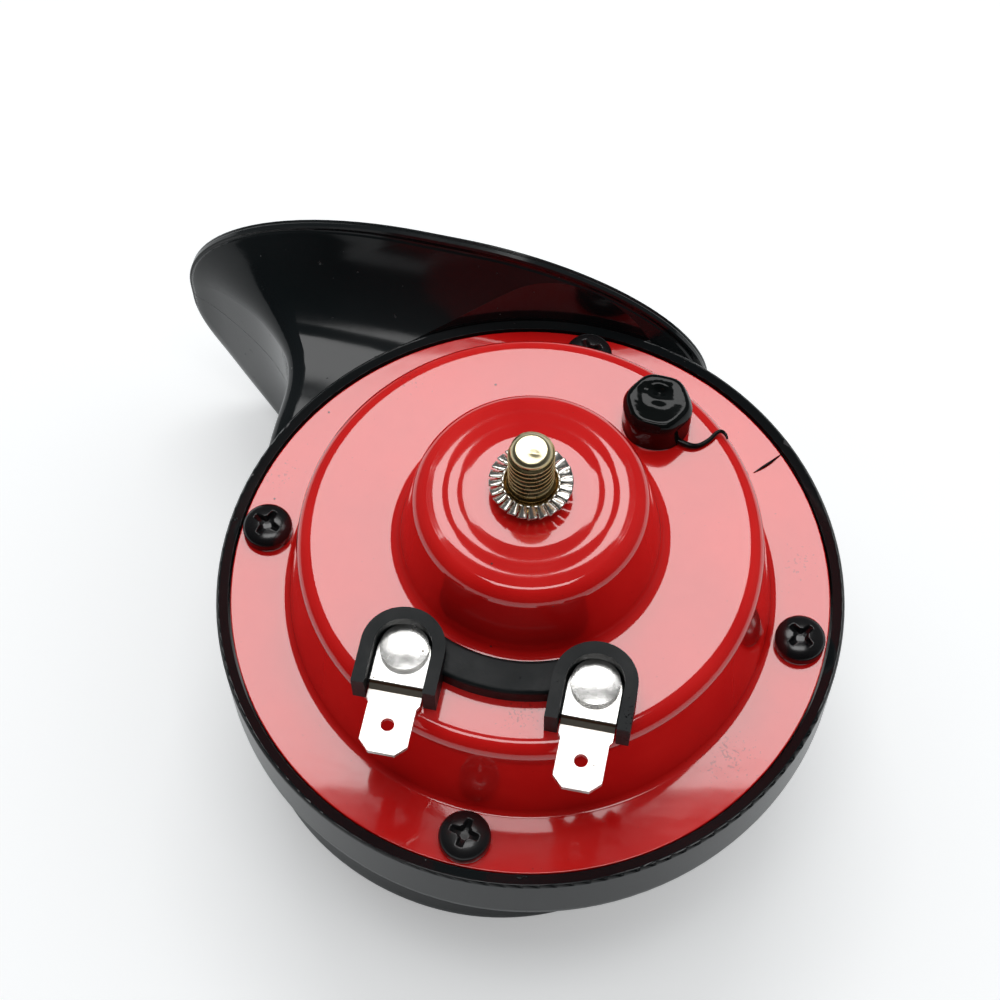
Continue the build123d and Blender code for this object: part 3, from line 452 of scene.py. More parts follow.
points, faces = skin_over(
    [turned_ring(radius, height + FLANGE_TOP, HOUSING_COUNT) for radius, height in housing_section]
)
stamped_housing = new_piece("stamped_housing", points, faces, red_enamel)

bores = [(SCREW_CIRCLE, angle, SCREW_BORE, FLANGE_TOP) for angle in SCREW_ANGLES]
bores += [(TERMINAL_CIRCLE, angle, BUSH_BORE, ANNULUS_TOP) for angle in TERMINAL_ANGLES]
bores.append((TONE_CIRCLE, TONE_ANGLE, TONE_BORE, ANNULUS_TOP))
punch_points, punch_faces = [], []
for reach, angle, radius, level in bores:
    middle = Vector((reach * math.cos(math.radians(angle)), reach * math.sin(math.radians(angle)), 0))
    foot, top = level - PUNCH_BELOW, level + PUNCH_ABOVE
    rings = [turned_ring(radius, height, PUNCH_COUNT) for height in (foot, top)]
    points, faces = skin_over(rings, (0, 0, foot), (0, 0, top))
    punch_faces += [tuple(index + len(punch_points) for index in face) for face in faces]
    punch_points += [tuple(Vector(point) + middle) for point in points]
punch = new_piece("punch", punch_points, punch_faces, red_enamel)
punching = stamped_housing.modifiers.new("punching", "BOOLEAN")
punching.operation, punching.solver, punching.object = "DIFFERENCE", "EXACT", punch
bpy.context.view_layer.update()
depsgraph = bpy.context.evaluated_depsgraph_get()
punched = bpy.data.meshes.new_from_object(stamped_housing.evaluated_get(depsgraph))
stamped_housing.modifiers.remove(punching)
bpy.data.objects.remove(punch)
welded = bmesh.new()
welded.from_mesh(punched)
bmesh.ops.remove_doubles(welded, verts=welded.verts, dist=WELD * MM)
welded.to_mesh(punched)
welded.free()
punched.set_sharp_from_angle(angle=math.radians(SHARP_ANGLE))
stamped_housing.data = punched
claim(stamped_housing, "rear_housing")


# ------------------------------------------------------------------ case and bell
# Two gloss black mouldings joined on a flat seam. The bell's lip is a rounded bead with a groove beside it,
# the seam shows as a fine line with a trace of flash, and the rim's edge carries one small nick.
def press_in(material, height, depth):
    """Add a height field in millimetres under the material's normal."""
    tree = material.node_tree
    shader = tree.nodes["Principled BSDF"]
    skin = shader.inputs["Normal"].links[0].from_socket
    bump = add_node(tree, "ShaderNodeBump", (("Height", height), ("Normal", skin)))
    bump.inputs["Distance"].default_value = depth * MM
    tree.links.new(bump.outputs["Normal"], shader.inputs["Normal"])


# Band: one between two heights along a direction, with soft edges.
band, given, result = socket_group(
    "band",
    (
        ("Direction", "NodeSocketVector", (0.0, 0.0, 1.0)),
        ("Low", "NodeSocketFloat", 0.0),
        ("High", "NodeSocketFloat", 1.0),
        ("Soft", "NodeSocketFloat", 0.0002),
    ),
    (("Mask", "NodeSocketFloat"),),
)
place = add_node(band, "ShaderNodeTexCoord").outputs["Object"]
along = add_node(band, "ShaderNodeVectorMath", ((0, place), (1, given["Direction"])), operation="DOT_PRODUCT")
low, high, soft = (given[label] for label in ("Low", "High", "Soft"))
past_low = maths(band, "SUBTRACT", along.outputs["Value"], low)
past_high = maths(band, "SUBTRACT", high, along.outputs["Value"])
rise = maths(band, "DIVIDE", past_low, soft, use_clamp=True)
fall = maths(band, "DIVIDE", past_high, soft, use_clamp=True)
within = maths(band, "MULTIPLY", rise, fall)
band.links.new(within.outputs[0], result["Mask"])

LIP_END = 46.2
LIP_GROOVE = (LIP_END - 0.62, LIP_END - 0.30)
LIP_LINE = (LIP_END - 1.75, LIP_END - 1.35)
SEAM_HEIGHT, SEAM_HALF = FLANGE_TOP - 14.5, 0.07
RIM_BEAD = 0.8

case_black = finish_material(
    "case_black",
    ((0.007, 0.0095, 0.0105), (0.011, 0.0135, 0.0145)),
    (0.09, 0.16),
    scale=45.0,
    peel=(700.0, 1.5, 0.003),
    dust=(700.0, 0.12, 0.008, (0.12, 0.12, 0.12)),
    Specular_IOR_Level=0.32,
)
groove = place_group(
    case_black, band, Direction=(0, 1, 0), Low=LIP_GROOVE[0] * MM, High=LIP_GROOVE[1] * MM, Soft=0.12 * MM
)
press_in(case_black, groove, -0.25)
seam = place_group(
    case_black, band, Low=(SEAM_HEIGHT - SEAM_HALF) * MM, High=(SEAM_HEIGHT + SEAM_HALF) * MM, Soft=0.05 * MM
)
press_in(case_black, seam, 0.05)
lay_over(case_black, seam, rough=0.45)

# Rim ring: the height of a bead round the axis, on what lies above one level.
rim_ring, given, result = socket_group(
    "rim_ring",
    (
        ("Inner", "NodeSocketFloat", 0.0423),
        ("Crest", "NodeSocketFloat", 0.0437),
        ("Outer", "NodeSocketFloat", 0.044),
        ("Above", "NodeSocketFloat", -0.031),
    ),
    (("Height", "NodeSocketFloat"),),
)
place = add_node(rim_ring, "ShaderNodeTexCoord").outputs["Object"]
inner, crest, outer, above = (given[label] for label in ("Inner", "Crest", "Outer", "Above"))
flat = add_node(rim_ring, "ShaderNodeVectorMath", ((0, place),), operation="MULTIPLY", in_1=(1, 1, 0))
out_by = add_node(rim_ring, "ShaderNodeVectorMath", ((0, flat),), operation="LENGTH").outputs["Value"]
climb = add_node(rim_ring, "ShaderNodeMapRange", ((0, out_by), (1, inner), (2, crest)))
drop = add_node(rim_ring, "ShaderNodeMapRange", ((0, out_by), (1, crest), (2, outer)), in_3=1.0, in_4=0.0)
up_by = add_node(rim_ring, "ShaderNodeSeparateXYZ", ((0, place),)).outputs["Z"]
high = maths(rim_ring, "GREATER_THAN", up_by, above)
bead = maths(rim_ring, "MULTIPLY", climb, drop)
bead_top = maths(rim_ring, "MULTIPLY", bead, high)
rim_ring.links.new(bead_top.outputs[0], result["Height"])
press_in(case_black, place_group(case_black, rim_ring), RIM_BEAD)
lip_line = place_group(
    case_black, band, Direction=(0, 1, 0), Low=LIP_LINE[0] * MM, High=LIP_LINE[1] * MM, Soft=0.15 * MM
)
press_in(case_black, lip_line, -0.2)
nick = place_group(
    case_black, patch, Middle=(31.0 * MM, 30.6 * MM, FLANGE_TOP * MM), Reach=1.2 * MM, Scale=900.0, Cover=0.5
)
press_in(case_black, nick, -0.2)
lay_over(case_black, nick, colour=(0.05, 0.055, 0.058), rough=0.5)
dress(case_black, "snail_rear_shell", "snail_front_shell")


# ------------------------------------------------------------------ case screws
# Cross-recess pan heads, blackened and lightly oiled, each driven home to its own angle. They pass the
# flange, the gaskets and the diaphragm and cut their own thread in the case.
def thread_radius(outer, depth, pitch, height, low, high):
    """Radius of a right-hand thread at a height, as a function of the angle, run out at both ends."""

    def radius(angle):
        turn = (height / pitch - angle / (2 * math.pi)) % 1.0
        flank = min(abs(2 * turn - 1) * THREAD_STEEP, 1.0)
        run_out = THREAD_FADE * pitch
        fade = min(max((height - low) / run_out, 0.0), max((high - height) / run_out, 0.0), 1.0)
        return outer - depth * (1 - flank) * fade - depth * THREAD_BARE * (1 - fade)

    return radius


HEAD_RADIUS, HEAD_SIDE, HEAD_HEIGHT = 3.5, 1.15, 2.6
CROWN_POWER, THREAD_STEEP, THREAD_FADE, THREAD_BARE = 2.6, 1.25, 0.6, 0.1
RECESS_REACH, RECESS_DEPTH, RECESS_HALF, RECESS_TAPER, RECESS_SLOPE = 2.05, 1.25, 0.42, 0.35, 0.14
HUB_RADIUS, HUB_SLOPE = 0.95, 0.2
SHANK_RADIUS, SHANK_TIP, SHANK_PITCH, SHANK_CUT = 1.9, -7.2, 1.3, 0.42
SCREW_COUNT = 96
THREAD_STEP = 0.17
HEAD_SHARES = (0.12, 0.4, 0.75, 0.98)
CROWN_RADII = (
    3.49, 3.45, 3.38, 3.28, 3.14, 2.96, 2.76, 2.54, 2.34, 2.18, 2.06, 1.94, 1.8, 1.64, 1.48, 1.32, 1.16, 1.02, 0.9,
    0.78, 0.66, 0.5, 0.32, 0.15,
)


def head_height(radius):
    """Height of the pan head's crown at a radius."""
    return HEAD_SIDE + (HEAD_HEIGHT - HEAD_SIDE) * (1 - (radius / HEAD_RADIUS) ** CROWN_POWER) ** 0.5


def crown(radius):
    """Height of the head at a radius with its cross recess, as a function of the angle."""

    def height(angle):
        wing = (angle + math.pi / 4) % (math.pi / 2) - math.pi / 4
        reach, aside = radius * math.cos(wing), abs(radius * math.sin(wing))
        floor = RECESS_DEPTH * max(1 - (reach / RECESS_REACH) ** 3, 0.0)
        half = RECESS_HALF * (1 - RECESS_TAPER * reach / RECESS_REACH)
        wall = min(max((half + RECESS_SLOPE - aside) / RECESS_SLOPE, 0.0), 1.0)
        hub = min(max((HUB_RADIUS - radius) / HUB_SLOPE, 0.0), 1.0)
        return head_height(radius) - max(floor * wall, RECESS_DEPTH * hub)

    return height


screw_black = finish_material(
    "screw_black",
    ((0.006, 0.006, 0.007), (0.012, 0.012, 0.013)),
    (0.20, 0.32),
    peel=(2500.0, 3.0, 0.006),
    Coat_Weight=0.35,
    Coat_Roughness=0.12,
)
screw_rings = [turned_ring(0.35, SHANK_TIP, SCREW_COUNT), turned_ring(1.25, SHANK_TIP + 0.12, SCREW_COUNT)]
row_height = SHANK_TIP + 0.4
while row_height < -0.5:
    cut = thread_radius(SHANK_RADIUS, SHANK_CUT, SHANK_PITCH, row_height, SHANK_TIP, -0.4)
    screw_rings.append(turned_ring(cut, row_height, SCREW_COUNT))
    row_height += THREAD_STEP
screw_rings.append(turned_ring(SHANK_RADIUS - 0.05, 0.0, SCREW_COUNT))
screw_rings.append(turned_ring(HEAD_RADIUS - 0.12, 0.0, SCREW_COUNT))
screw_rings += [turned_ring(HEAD_RADIUS, HEAD_SIDE * share, SCREW_COUNT) for share in HEAD_SHARES]
screw_rings += [turned_ring(radius, crown(radius), SCREW_COUNT) for radius in CROWN_RADII]
points, faces = skin_over(screw_rings, (0, 0, SHANK_TIP), (0, 0, head_height(0) - RECESS_DEPTH))
one_screw = new_piece("one_screw", [(x, y, z + FLANGE_TOP) for x, y, z in points], faces, screw_black)

# Ring of parts: copies of one part at equal angles round the axis, turned to follow it or to a random angle.
ring_tree, given, result = socket_group(
    "ring_of_parts",
    (
        ("Geometry", "NodeSocketGeometry", None),
        ("Part", "NodeSocketObject", None),
        ("Count", "NodeSocketInt", 4),
        ("Ring Radius", "NodeSocketFloat", 0.0),
        ("Follow", "NodeSocketFloat", 1.0),
        ("Spin", "NodeSocketFloat", 0.0),
        ("Seed", "NodeSocketInt", 1),
        ("Material", "NodeSocketMaterial", None),
    ),
    (("Geometry", "NodeSocketGeometry"),),
    "GeometryNodeTree",
)
seats = add_node(ring_tree, "GeometryNodePoints", ((0, given["Count"]),))
which = add_node(ring_tree, "GeometryNodeInputIndex")
step_angle = maths(ring_tree, "DIVIDE", 2 * math.pi, given["Count"])
turn = maths(ring_tree, "MULTIPLY", which, step_angle)
across = maths(ring_tree, "COSINE", turn)
along = maths(ring_tree, "SINE", turn)
unit = add_node(ring_tree, "ShaderNodeCombineXYZ", ((0, across), (1, along)))
seat = add_node(ring_tree, "ShaderNodeVectorMath", ((0, unit), ("Scale", given["Ring Radius"])), operation="SCALE")
placed = add_node(ring_tree, "GeometryNodeSetPosition", ((0, seats), ("Position", seat)))
chance = add_node(ring_tree, "FunctionNodeRandomValue", (("Seed", given["Seed"]),), data_type="FLOAT")
drawn = [entry for entry in chance.outputs if entry.enabled][0]
followed = maths(ring_tree, "MULTIPLY", turn, given["Follow"])
spun = maths(ring_tree, "MULTIPLY_ADD", drawn, given["Spin"], followed)
facing = add_node(ring_tree, "ShaderNodeCombineXYZ", ((2, spun),))
part = add_node(ring_tree, "GeometryNodeObjectInfo", ((0, given["Part"]),), in_1=True).outputs["Geometry"]
copies = add_node(ring_tree, "GeometryNodeInstanceOnPoints", ((0, placed), ("Instance", part), ("Rotation", facing)))
joined = add_node(ring_tree, "GeometryNodeJoinGeometry", ((0, copies), (0, given["Geometry"])))
made_real = add_node(ring_tree, "GeometryNodeRealizeInstances", ((0, joined),))
painted = add_node(ring_tree, "GeometryNodeSetMaterial", ((0, made_real), ("Material", given["Material"])))
ring_tree.links.new(painted.outputs[0], result["Geometry"])


def ring_of(name, carrier, part, material, slot, node, **values):
    """Piece made of a carrier mesh and copies of one part round the axis; the one part is used up."""
    start = carrier or bpy.data.meshes.new(name + "_start")
    source = bpy.data.objects.new(name + "_source", start)
    bpy.context.scene.collection.objects.link(source)
    modifier = source.modifiers.new("ring", "NODES")
    modifier.node_group = ring_tree
    settings = {"Part": part, "Material": material, **values}
    for item in ring_tree.interface.items_tree:
        if item.in_out == "INPUT" and item.name in settings:
            modifier[item.identifier] = settings[item.name]
    source.update_tag()
    depsgraph = bpy.context.evaluated_depsgraph_get()
    mesh = bpy.data.meshes.new_from_object(source.evaluated_get(depsgraph))
    mesh.name = name
    source.modifiers.remove(modifier)
    bpy.data.objects.remove(source)
    bpy.data.objects.remove(part)
    mesh.polygons.foreach_set("use_smooth", [True] * len(mesh.polygons))
    piece = bpy.data.objects.new(name, mesh)
    bpy.context.scene.collection.objects.link(piece)
    claim(piece, node)


ring_of(
    "cross_recess_screws", None, one_screw, screw_black, "screw_black", "case_screws",
    **{"Count": len(SCREW_ANGLES), "Ring Radius": SCREW_CIRCLE * MM, "Follow": 0.0, "Spin": 1.5, "Seed": 11},
)

# ------------------------------------------------------------------ stud and core
# One turned steel piece: the pole under the roof, the neck riveted through it, the ring under the washer and
# the M6 stud. It is zinc plated and passivated yellow, and worn bright on the stud's end.
STUD_COUNT = 96
STUD_TIP, STUD_START, STUD_CHAMFER = 8.1, 0.45, 0.8
STUD_RADIUS, STUD_CUT, STUD_PITCH, STUD_STEP = 3.0, 0.64, 1.0, 0.1
STUD_END_RADIUS, STUD_END_DISH = 1.95, 0.04
STUD_DENT = (0.12, 0.55, -0.45, 0.45, 0.15)  # depth, place and spread in x and y
CORE_FOOT = -20.2
CORE_LINE = (  # radius and height from the pole's foot to the stud's foot
    (6.7, CORE_FOOT), (7.0, -19.9), (7.0, -3.9), (3.6, -3.9), (3.6, -2.7), (4.4, -2.7), (4.4, -0.75), (4.32, -0.7),
    (3.22, -0.7), (3.2, -0.66), (3.2, -0.06), (3.12, 0.02), (2.86, 0.1),
)
CHAMFER_LINE = ((2.62, -0.62), (2.42, -0.3), (2.2, -0.1), (2.05, -0.02), (STUD_END_RADIUS, 0.0))
END_RADII = (1.8, 1.6, 1.4, 1.2, 1.0, 0.85, 0.7, 0.55, 0.4, 0.25, 0.12)

yellow_zinc = finish_material(
    "yellow_zinc",
    ((0.62, 0.44, 0.17), (0.80, 0.66, 0.36)),
    (0.18, 0.32),
    scale=500.0,
    peel=(1800.0, 3.0, 0.010),
    Metallic=1.0,
)
stud_end = place_group(yellow_zinc, band, Low=(STUD_TIP - STUD_CHAMFER) * MM, High=10 * MM, Soft=0.5 * MM)
lay_over(yellow_zinc, stud_end, colour=(0.90, 0.80, 0.52), rough=0.3)
# Painted shade: the stud's foot and the ring under the washer are painted darker where the washer shades them.
painted_foot_shade = place_group(yellow_zinc, band, Low=-3 * MM, High=0.9 * MM, Soft=0.5 * MM)
lay_over(yellow_zinc, painted_foot_shade, colour=(0.34, 0.22, 0.08))
core_rings = [turned_ring(radius, height, STUD_COUNT) for radius, height in CORE_LINE]
row_height = STUD_START
while row_height < STUD_TIP - STUD_CHAMFER - 0.02:
    cut = thread_radius(STUD_RADIUS, STUD_CUT, STUD_PITCH, row_height, STUD_START - 0.2, STUD_TIP - 0.3)
    core_rings.append(turned_ring(cut, row_height, STUD_COUNT))
    row_height += STUD_STEP
core_rings += [turned_ring(radius, STUD_TIP + below, STUD_COUNT) for radius, below in CHAMFER_LINE]


def lump(x, y, height, middle_x, middle_y, spread_x, spread_y):
    """Height at a place of a soft lump round its own middle."""
    return height * math.exp(-((x - middle_x) ** 2 / spread_x + (y - middle_y) ** 2 / spread_y))


def end_height(radius):
    """Height of the stud's end at a radius, slightly dished from the cut-off and with one small dent."""

    def height(angle):
        dent = lump(radius * math.cos(angle), radius * math.sin(angle), *STUD_DENT)
        return STUD_TIP - STUD_END_DISH * (1 - (radius / STUD_END_RADIUS) ** 2) - dent

    return height


core_rings += [turned_ring(radius, end_height(radius), STUD_COUNT) for radius in END_RADII]
points, faces = skin_over(core_rings, (0, 0, CORE_FOOT), (0, 0, end_height(0)(0)))
new_piece("threaded_stud_and_core", points, faces, yellow_zinc, "stud_steel", "pole_core")

# ------------------------------------------------------------------ lock washer
# Hardened and plated ring with twenty-four teeth twisted out of its rim, whose crests bite the bracket.
bright_washer = finish_material(
    "bright_washer",
    ((0.80, 0.78, 0.72), (0.92, 0.90, 0.85)),
    (0.16, 0.30),
    scale=600.0,
    peel=(2600.0, 2.0, 0.008),
    Metallic=1.0,
)
tarnish = place_group(bright_washer, specks, Scale=2200.0, Size=0.3, Share=0.12)
lay_over(bright_washer, tarnish, colour=(0.32, 0.24, 0.16), rough=0.5)
WASHER_COUNT, TEETH = 96, 24
WASHER_SECTION = (  # radius and height round the plain inner ring
    (3.46, -0.7), (3.80, -0.7), (3.86, -0.62), (3.88, -0.40), (3.86, -0.26), (3.80, -0.2), (3.55, -0.2), (3.46, -0.28),
)
points, faces = skin_over([turned_ring(radius, height, WASHER_COUNT) for radius, height in WASHER_SECTION])
ring_piece = new_piece("washer_ring", points, faces, bright_washer)
ring_mesh = ring_piece.data
bpy.data.objects.remove(ring_piece)

TOOTH_STATIONS = (  # radius, width, thickness and twist in degrees
    (3.62, 0.60, 0.50, 6.0), (3.85, 0.80, 0.44, 14.0), (4.10, 0.94, 0.38, 17.0), (4.40, 1.06, 0.34, 18.5),
    (4.75, 1.18, 0.31, 19.0), (5.05, 1.26, 0.29, 19.0), (5.32, 1.32, 0.27, 19.0), (5.43, 1.20, 0.22, 19.0),
)
TOOTH_OUTLINE = (  # shares of half the width and of half the thickness
    (-1, -0.6), (-0.85, -1), (0, -1), (0.85, -1), (1, -0.6), (1, 0.6), (0.85, 1), (0, 1), (-0.85, 1), (-1, 0.6),
)
TOOTH_LEVEL, TOOTH_ROOT, TOOTH_TIP = -0.37, 3.66, 5.45
tooth_rings = []
for radius, width, thickness, twist in TOOTH_STATIONS:
    turn_by = math.radians(twist)
    outline = []
    for across_share, up_share in TOOTH_OUTLINE:
        across_by, up_by = across_share * width / 2, up_share * thickness / 2
        outline.append((
            radius,
            across_by * math.cos(turn_by) - up_by * math.sin(turn_by),
            TOOTH_LEVEL + across_by * math.sin(turn_by) + up_by * math.cos(turn_by),
        ))
    tooth_rings.append(outline)
points, faces = skin_over(tooth_rings, (TOOTH_ROOT, 0, TOOTH_LEVEL), (TOOTH_TIP, 0, TOOTH_LEVEL))
one_tooth = new_piece("one_tooth", points, faces, bright_washer)
ring_of(
    "toothed_washer", ring_mesh, one_tooth, bright_washer, "washer_steel", "serrated_washer",
    **{"Count": TEETH, "Ring Radius": 0.0, "Follow": 1.0, "Spin": 0.0, "Seed": 1},
)

# ------------------------------------------------------------------ terminal insulator
# Glass-filled black moulding of two horseshoe shields and the bridge between them, matt on its pads and a
# little rough on the outer edge of the right shield. The rivets hold it to the housing.
moulded_black = finish_material(
    "moulded_black",
    ((0.006, 0.008, 0.009), (0.011, 0.014, 0.015)),
    (0.34, 0.52),
    scale=220.0,
    peel=(1600.0, 4.0, 0.03),
    dust=(1400.0, 0.16, 0.015, (0.06, 0.06, 0.06)),
    Specular_IOR_Level=0.24,
)
rough_edge = place_group(
    moulded_black, patch, Middle=(18.8 * MM, -24.5 * MM, -12.5 * MM), Reach=4 * MM, Scale=2600.0, Cover=0.3
)
press_in(moulded_black, rough_edge, 0.08)
dress(moulded_black, "terminal_insulator")

# ------------------------------------------------------------------ terminals
# Tinned brass blades, stamped with a jog at the foot and riveted through the insulator. The rivets' heads
# and the foot of each blade are a shade duller.
TAB_RUN = (-0.0349, 0.9994, 0)  # from the tabs' ends towards the stud
FOOT_LOW, JOG_LOW, JOG_HIGH = -26.9, -26.05, -25.6
bright_tin = finish_material(
    "bright_tin",
    ((0.90, 0.885, 0.85), (0.96, 0.95, 0.925)),
    (0.20, 0.34),
    scale=260.0,
    peel=(2200.0, 2.0, 0.006),
    dust=(1500.0, 0.2, 0.02, (0.42, 0.36, 0.28)),
    stretch=(1.0, 0.15, 1.0),
    Metallic=0.92,
)
blade_foot = place_group(bright_tin, band, Direction=TAB_RUN, Low=FOOT_LOW * MM, High=JOG_HIGH * MM, Soft=0.4 * MM)
lay_over(bright_tin, blade_foot, colour=(0.62, 0.55, 0.46), rough=0.4)
# Painted shade: a thin dark brown line painted along the bend of each blade's jog.
jog_shade_line = place_group(bright_tin, band, Direction=TAB_RUN, Low=JOG_LOW * MM, High=JOG_HIGH * MM, Soft=0.15 * MM)
lay_over(bright_tin, jog_shade_line, colour=(0.16, 0.075, 0.04), rough=0.5)
dress(bright_tin, "spade_terminal_left", "spade_terminal_right")
rivet_tin = finish_material(
    "rivet_tin",
    ((0.84, 0.83, 0.80), (0.93, 0.92, 0.90)),
    (0.16, 0.30),
    scale=380.0,
    peel=(1500.0, 3.0, 0.012),
    dust=(1500.0, 0.22, 0.03, (0.40, 0.36, 0.30)),
    Metallic=0.95,
)
dress(rivet_tin, "terminal_rivets")

# ------------------------------------------------------------------ adjusting screw's sealant
# Black sealing compound poured over the adjusting screw's hexagon: a lumpy cap with a crater on top, the
# thread that it drew when the nozzle was pulled away, and a shred of it on the flange.
CAP_COUNT = 84
CAP_TURN = math.radians(TONE_ANGLE)
CAP_X, CAP_Y = TONE_CIRCLE * math.cos(CAP_TURN), TONE_CIRCLE * math.sin(CAP_TURN)
CAP_RADIUS, CAP_FOOT_RADIUS, CAP_SIDE, CAP_TOP = 4.63, 2.7, 4.4, 5.9
CAP_CORNER, CORNER_HEIGHT, CAP_WOBBLE, CAP_RIPPLE, CAP_SLUMP, SLUMP_HEIGHT = 0.085, 1.5, 0.05, 0.035, 0.08, 0.9
CAP_MOUND = (0.30, 0.2, 0.1, 2.2, 0.7)  # height, place and spread in x and y
CAP_CRATER = (0.80, -0.1, 1.55, 0.9, 0.32)
CAP_DIMPLE = (0.16, -2.3, 1.5, 0.35, 0.35)
CAP_HEIGHTS = (0.0, 0.2, 0.5, 1.0, 1.6, 2.3, 3.0, 3.6)
CAP_SHARES = (1.0, 0.985, 0.96, 0.92, 0.87, 0.81, 0.74, 0.67, 0.6, 0.53, 0.46, 0.39, 0.32, 0.25, 0.18, 0.11, 0.05)
HEXAGON_HALF, HEXAGON_SHARE = 4.5, 0.65
CROWN_FLAT, CROWN_SAG, CROWN_ROUND = 0.82, 0.42, 0.22
CAVITY_HALF, CAVITY_TOP, CAVITY_FOOT, SHANK_HOLE = 3.55, 3.75, 0.3, 2.45

sealing_black = finish_material(
    "sealing_black",
    ((0.0035, 0.0045, 0.0045), (0.006, 0.0075, 0.0075)),
    (0.06, 0.13),
    scale=160.0,
    peel=(900.0, 1.0, 0.03),
    dust=(900.0, 0.12, 0.006, (0.10, 0.10, 0.10)),
    Specular_IOR_Level=0.22,
)


def cap_wall(height):
    """Radius of the cap's wall: hexagon corners that show through, slumped towards the foot."""

    def radius(angle):
        corner = math.cos(6 * (angle - CAP_TURN))
        wobble = CAP_WOBBLE * math.sin(2 * angle + 0.6)
        wobble += CAP_RIPPLE * math.sin(5 * angle + 1.9 * height / CAP_SIDE)
        slump = CAP_SLUMP * max(1 - height / SLUMP_HEIGHT, 0.0) ** 2
        return CAP_RADIUS + CAP_CORNER * corner * min(height / CORNER_HEIGHT, 1.0) + wobble + slump

    return radius


def cap_crown(share):
    """Height of the cap's crown at a share of its radius, as a function of the angle."""

    def height(angle):
        reach = cap_wall(CAP_SIDE)(angle) * share
        x, y = reach * math.cos(angle), reach * math.sin(angle)
        hexed = sum(
            max(x * math.cos(turn) + y * math.sin(turn), 0.0) ** 8
            for turn in (CAP_TURN + math.radians(60 * side - 30) for side in range(6))
        ) ** 0.125 / HEXAGON_HALF
        rounded = min(HEXAGON_SHARE * min(hexed, 1.0) + (1 - HEXAGON_SHARE) * share, 1.0) / CROWN_FLAT
        if rounded < 1:
            crown_top = CAP_TOP - CROWN_SAG * (1 - rounded ** 2) ** 2
        else:
            crown_top = CAP_TOP - (CAP_TOP - CAP_SIDE) * ((rounded - 1) / CROWN_ROUND) ** 2
        return min(crown_top + lump(x, y, *CAP_MOUND), CAP_TOP) - lump(x, y, *CAP_CRATER) - lump(x, y, *CAP_DIMPLE)

    return height


def hexagon(angle):
    """Radius of the cavity that fits the adjusting screw's hexagon."""
    turn = (angle - CAP_TURN + math.pi / 6) % (math.pi / 3) - math.pi / 6
    return CAVITY_HALF / math.cos(turn)


cap_rings = [  # from the cavity's top down its sides to the foot, then up the outside
    turned_ring(0.4, CAVITY_TOP, CAP_COUNT),
    turned_ring(lambda angle: hexagon(angle) * 0.97, CAVITY_TOP, CAP_COUNT),
    turned_ring(hexagon, CAVITY_TOP - 0.05, CAP_COUNT),
    turned_ring(hexagon, CAVITY_FOOT, CAP_COUNT),
    turned_ring(SHANK_HOLE, CAVITY_FOOT, CAP_COUNT),
    turned_ring(SHANK_HOLE, 0.0, CAP_COUNT),
    turned_ring(CAP_FOOT_RADIUS, 0.0, CAP_COUNT),
]
cap_rings += [turned_ring(cap_wall(height), height, CAP_COUNT) for height in CAP_HEIGHTS]
cap_rings += [
    turned_ring(lambda angle, s=share: cap_wall(CAP_SIDE)(angle) * s, cap_crown(share), CAP_COUNT)
    for share in CAP_SHARES
]
points, faces = skin_over(cap_rings, (0, 0, CAVITY_TOP), (0, 0, cap_crown(0)(0)))
points = [(x + CAP_X, y + CAP_Y, z + ANNULUS_TOP) for x, y, z in points]
new_piece("sealant_cap", points, faces, sealing_black, "sealant_black", "screw_sealant")


def drawn_thread(name, route, sides=12, steps=10):
    """Tapered round thread of sealant along a smooth route of (x, y, height, radius) in millimetres."""
    samples = []
    for index in range(len(route) - 1):
        before = route[max(index - 1, 0)]
        start, end = route[index], route[index + 1]
        beyond = route[min(index + 2, len(route) - 1)]
        for part in range(steps if index < len(route) - 2 else steps + 1):
            t = part / steps
            samples.append(tuple(
                0.5 * (2 * b + (c - a) * t + (2 * a - 5 * b + 4 * c - d) * t * t + (3 * b - a - 3 * c + d) * t ** 3)
                for a, b, c, d in zip(before, start, end, beyond)
            ))
    rings = []
    for index, (x, y, z, radius) in enumerate(samples):
        ahead = Vector(samples[min(index + 1, len(samples) - 1)][:3])
        behind = Vector(samples[max(index - 1, 0)][:3])
        run = (ahead - behind).normalized()
        side = run.cross(Vector((0, 0, 1))).normalized()
        up = side.cross(run)
        rings.append([
            tuple(Vector((x, y, z)) + radius * (math.cos(a) * side + math.sin(a) * up))
            for a in (2 * math.pi * step / sides for step in range(sides))
        ])
    points, faces = skin_over(rings, samples[0][:3], samples[-1][:3])
    new_piece(name, points, faces, sealing_black, "sealant_black")


drawn_thread("sealant_thread", (
    (16.4, 18.3, ANNULUS_TOP + 0.62, 0.46),
    (18.0, 18.0, ANNULUS_TOP + 0.50, 0.42),
    (19.3, 18.3, ANNULUS_TOP + 0.40, 0.36),
    (20.55, 19.5, ANNULUS_TOP + 0.42, 0.32),
    (21.3, 20.7, ANNULUS_TOP + 0.55, 0.29),
    (21.95, 21.15, ANNULUS_TOP + 0.55, 0.26),
    (22.6, 20.85, ANNULUS_TOP + 0.40, 0.22),
    (22.95, 20.3, ANNULUS_TOP + 0.30, 0.15),
))
drawn_thread("sealant_shred", (
    (27.3, 24.9, FLANGE_TOP + 0.05, 0.05),
    (28.2, 25.8, FLANGE_TOP + 0.14, 0.17),
    (29.2, 26.9, FLANGE_TOP + 0.16, 0.20),
    (30.2, 28.2, FLANGE_TOP + 0.10, 0.10),
    (30.7, 28.9, FLANGE_TOP + 0.05, 0.04),
))

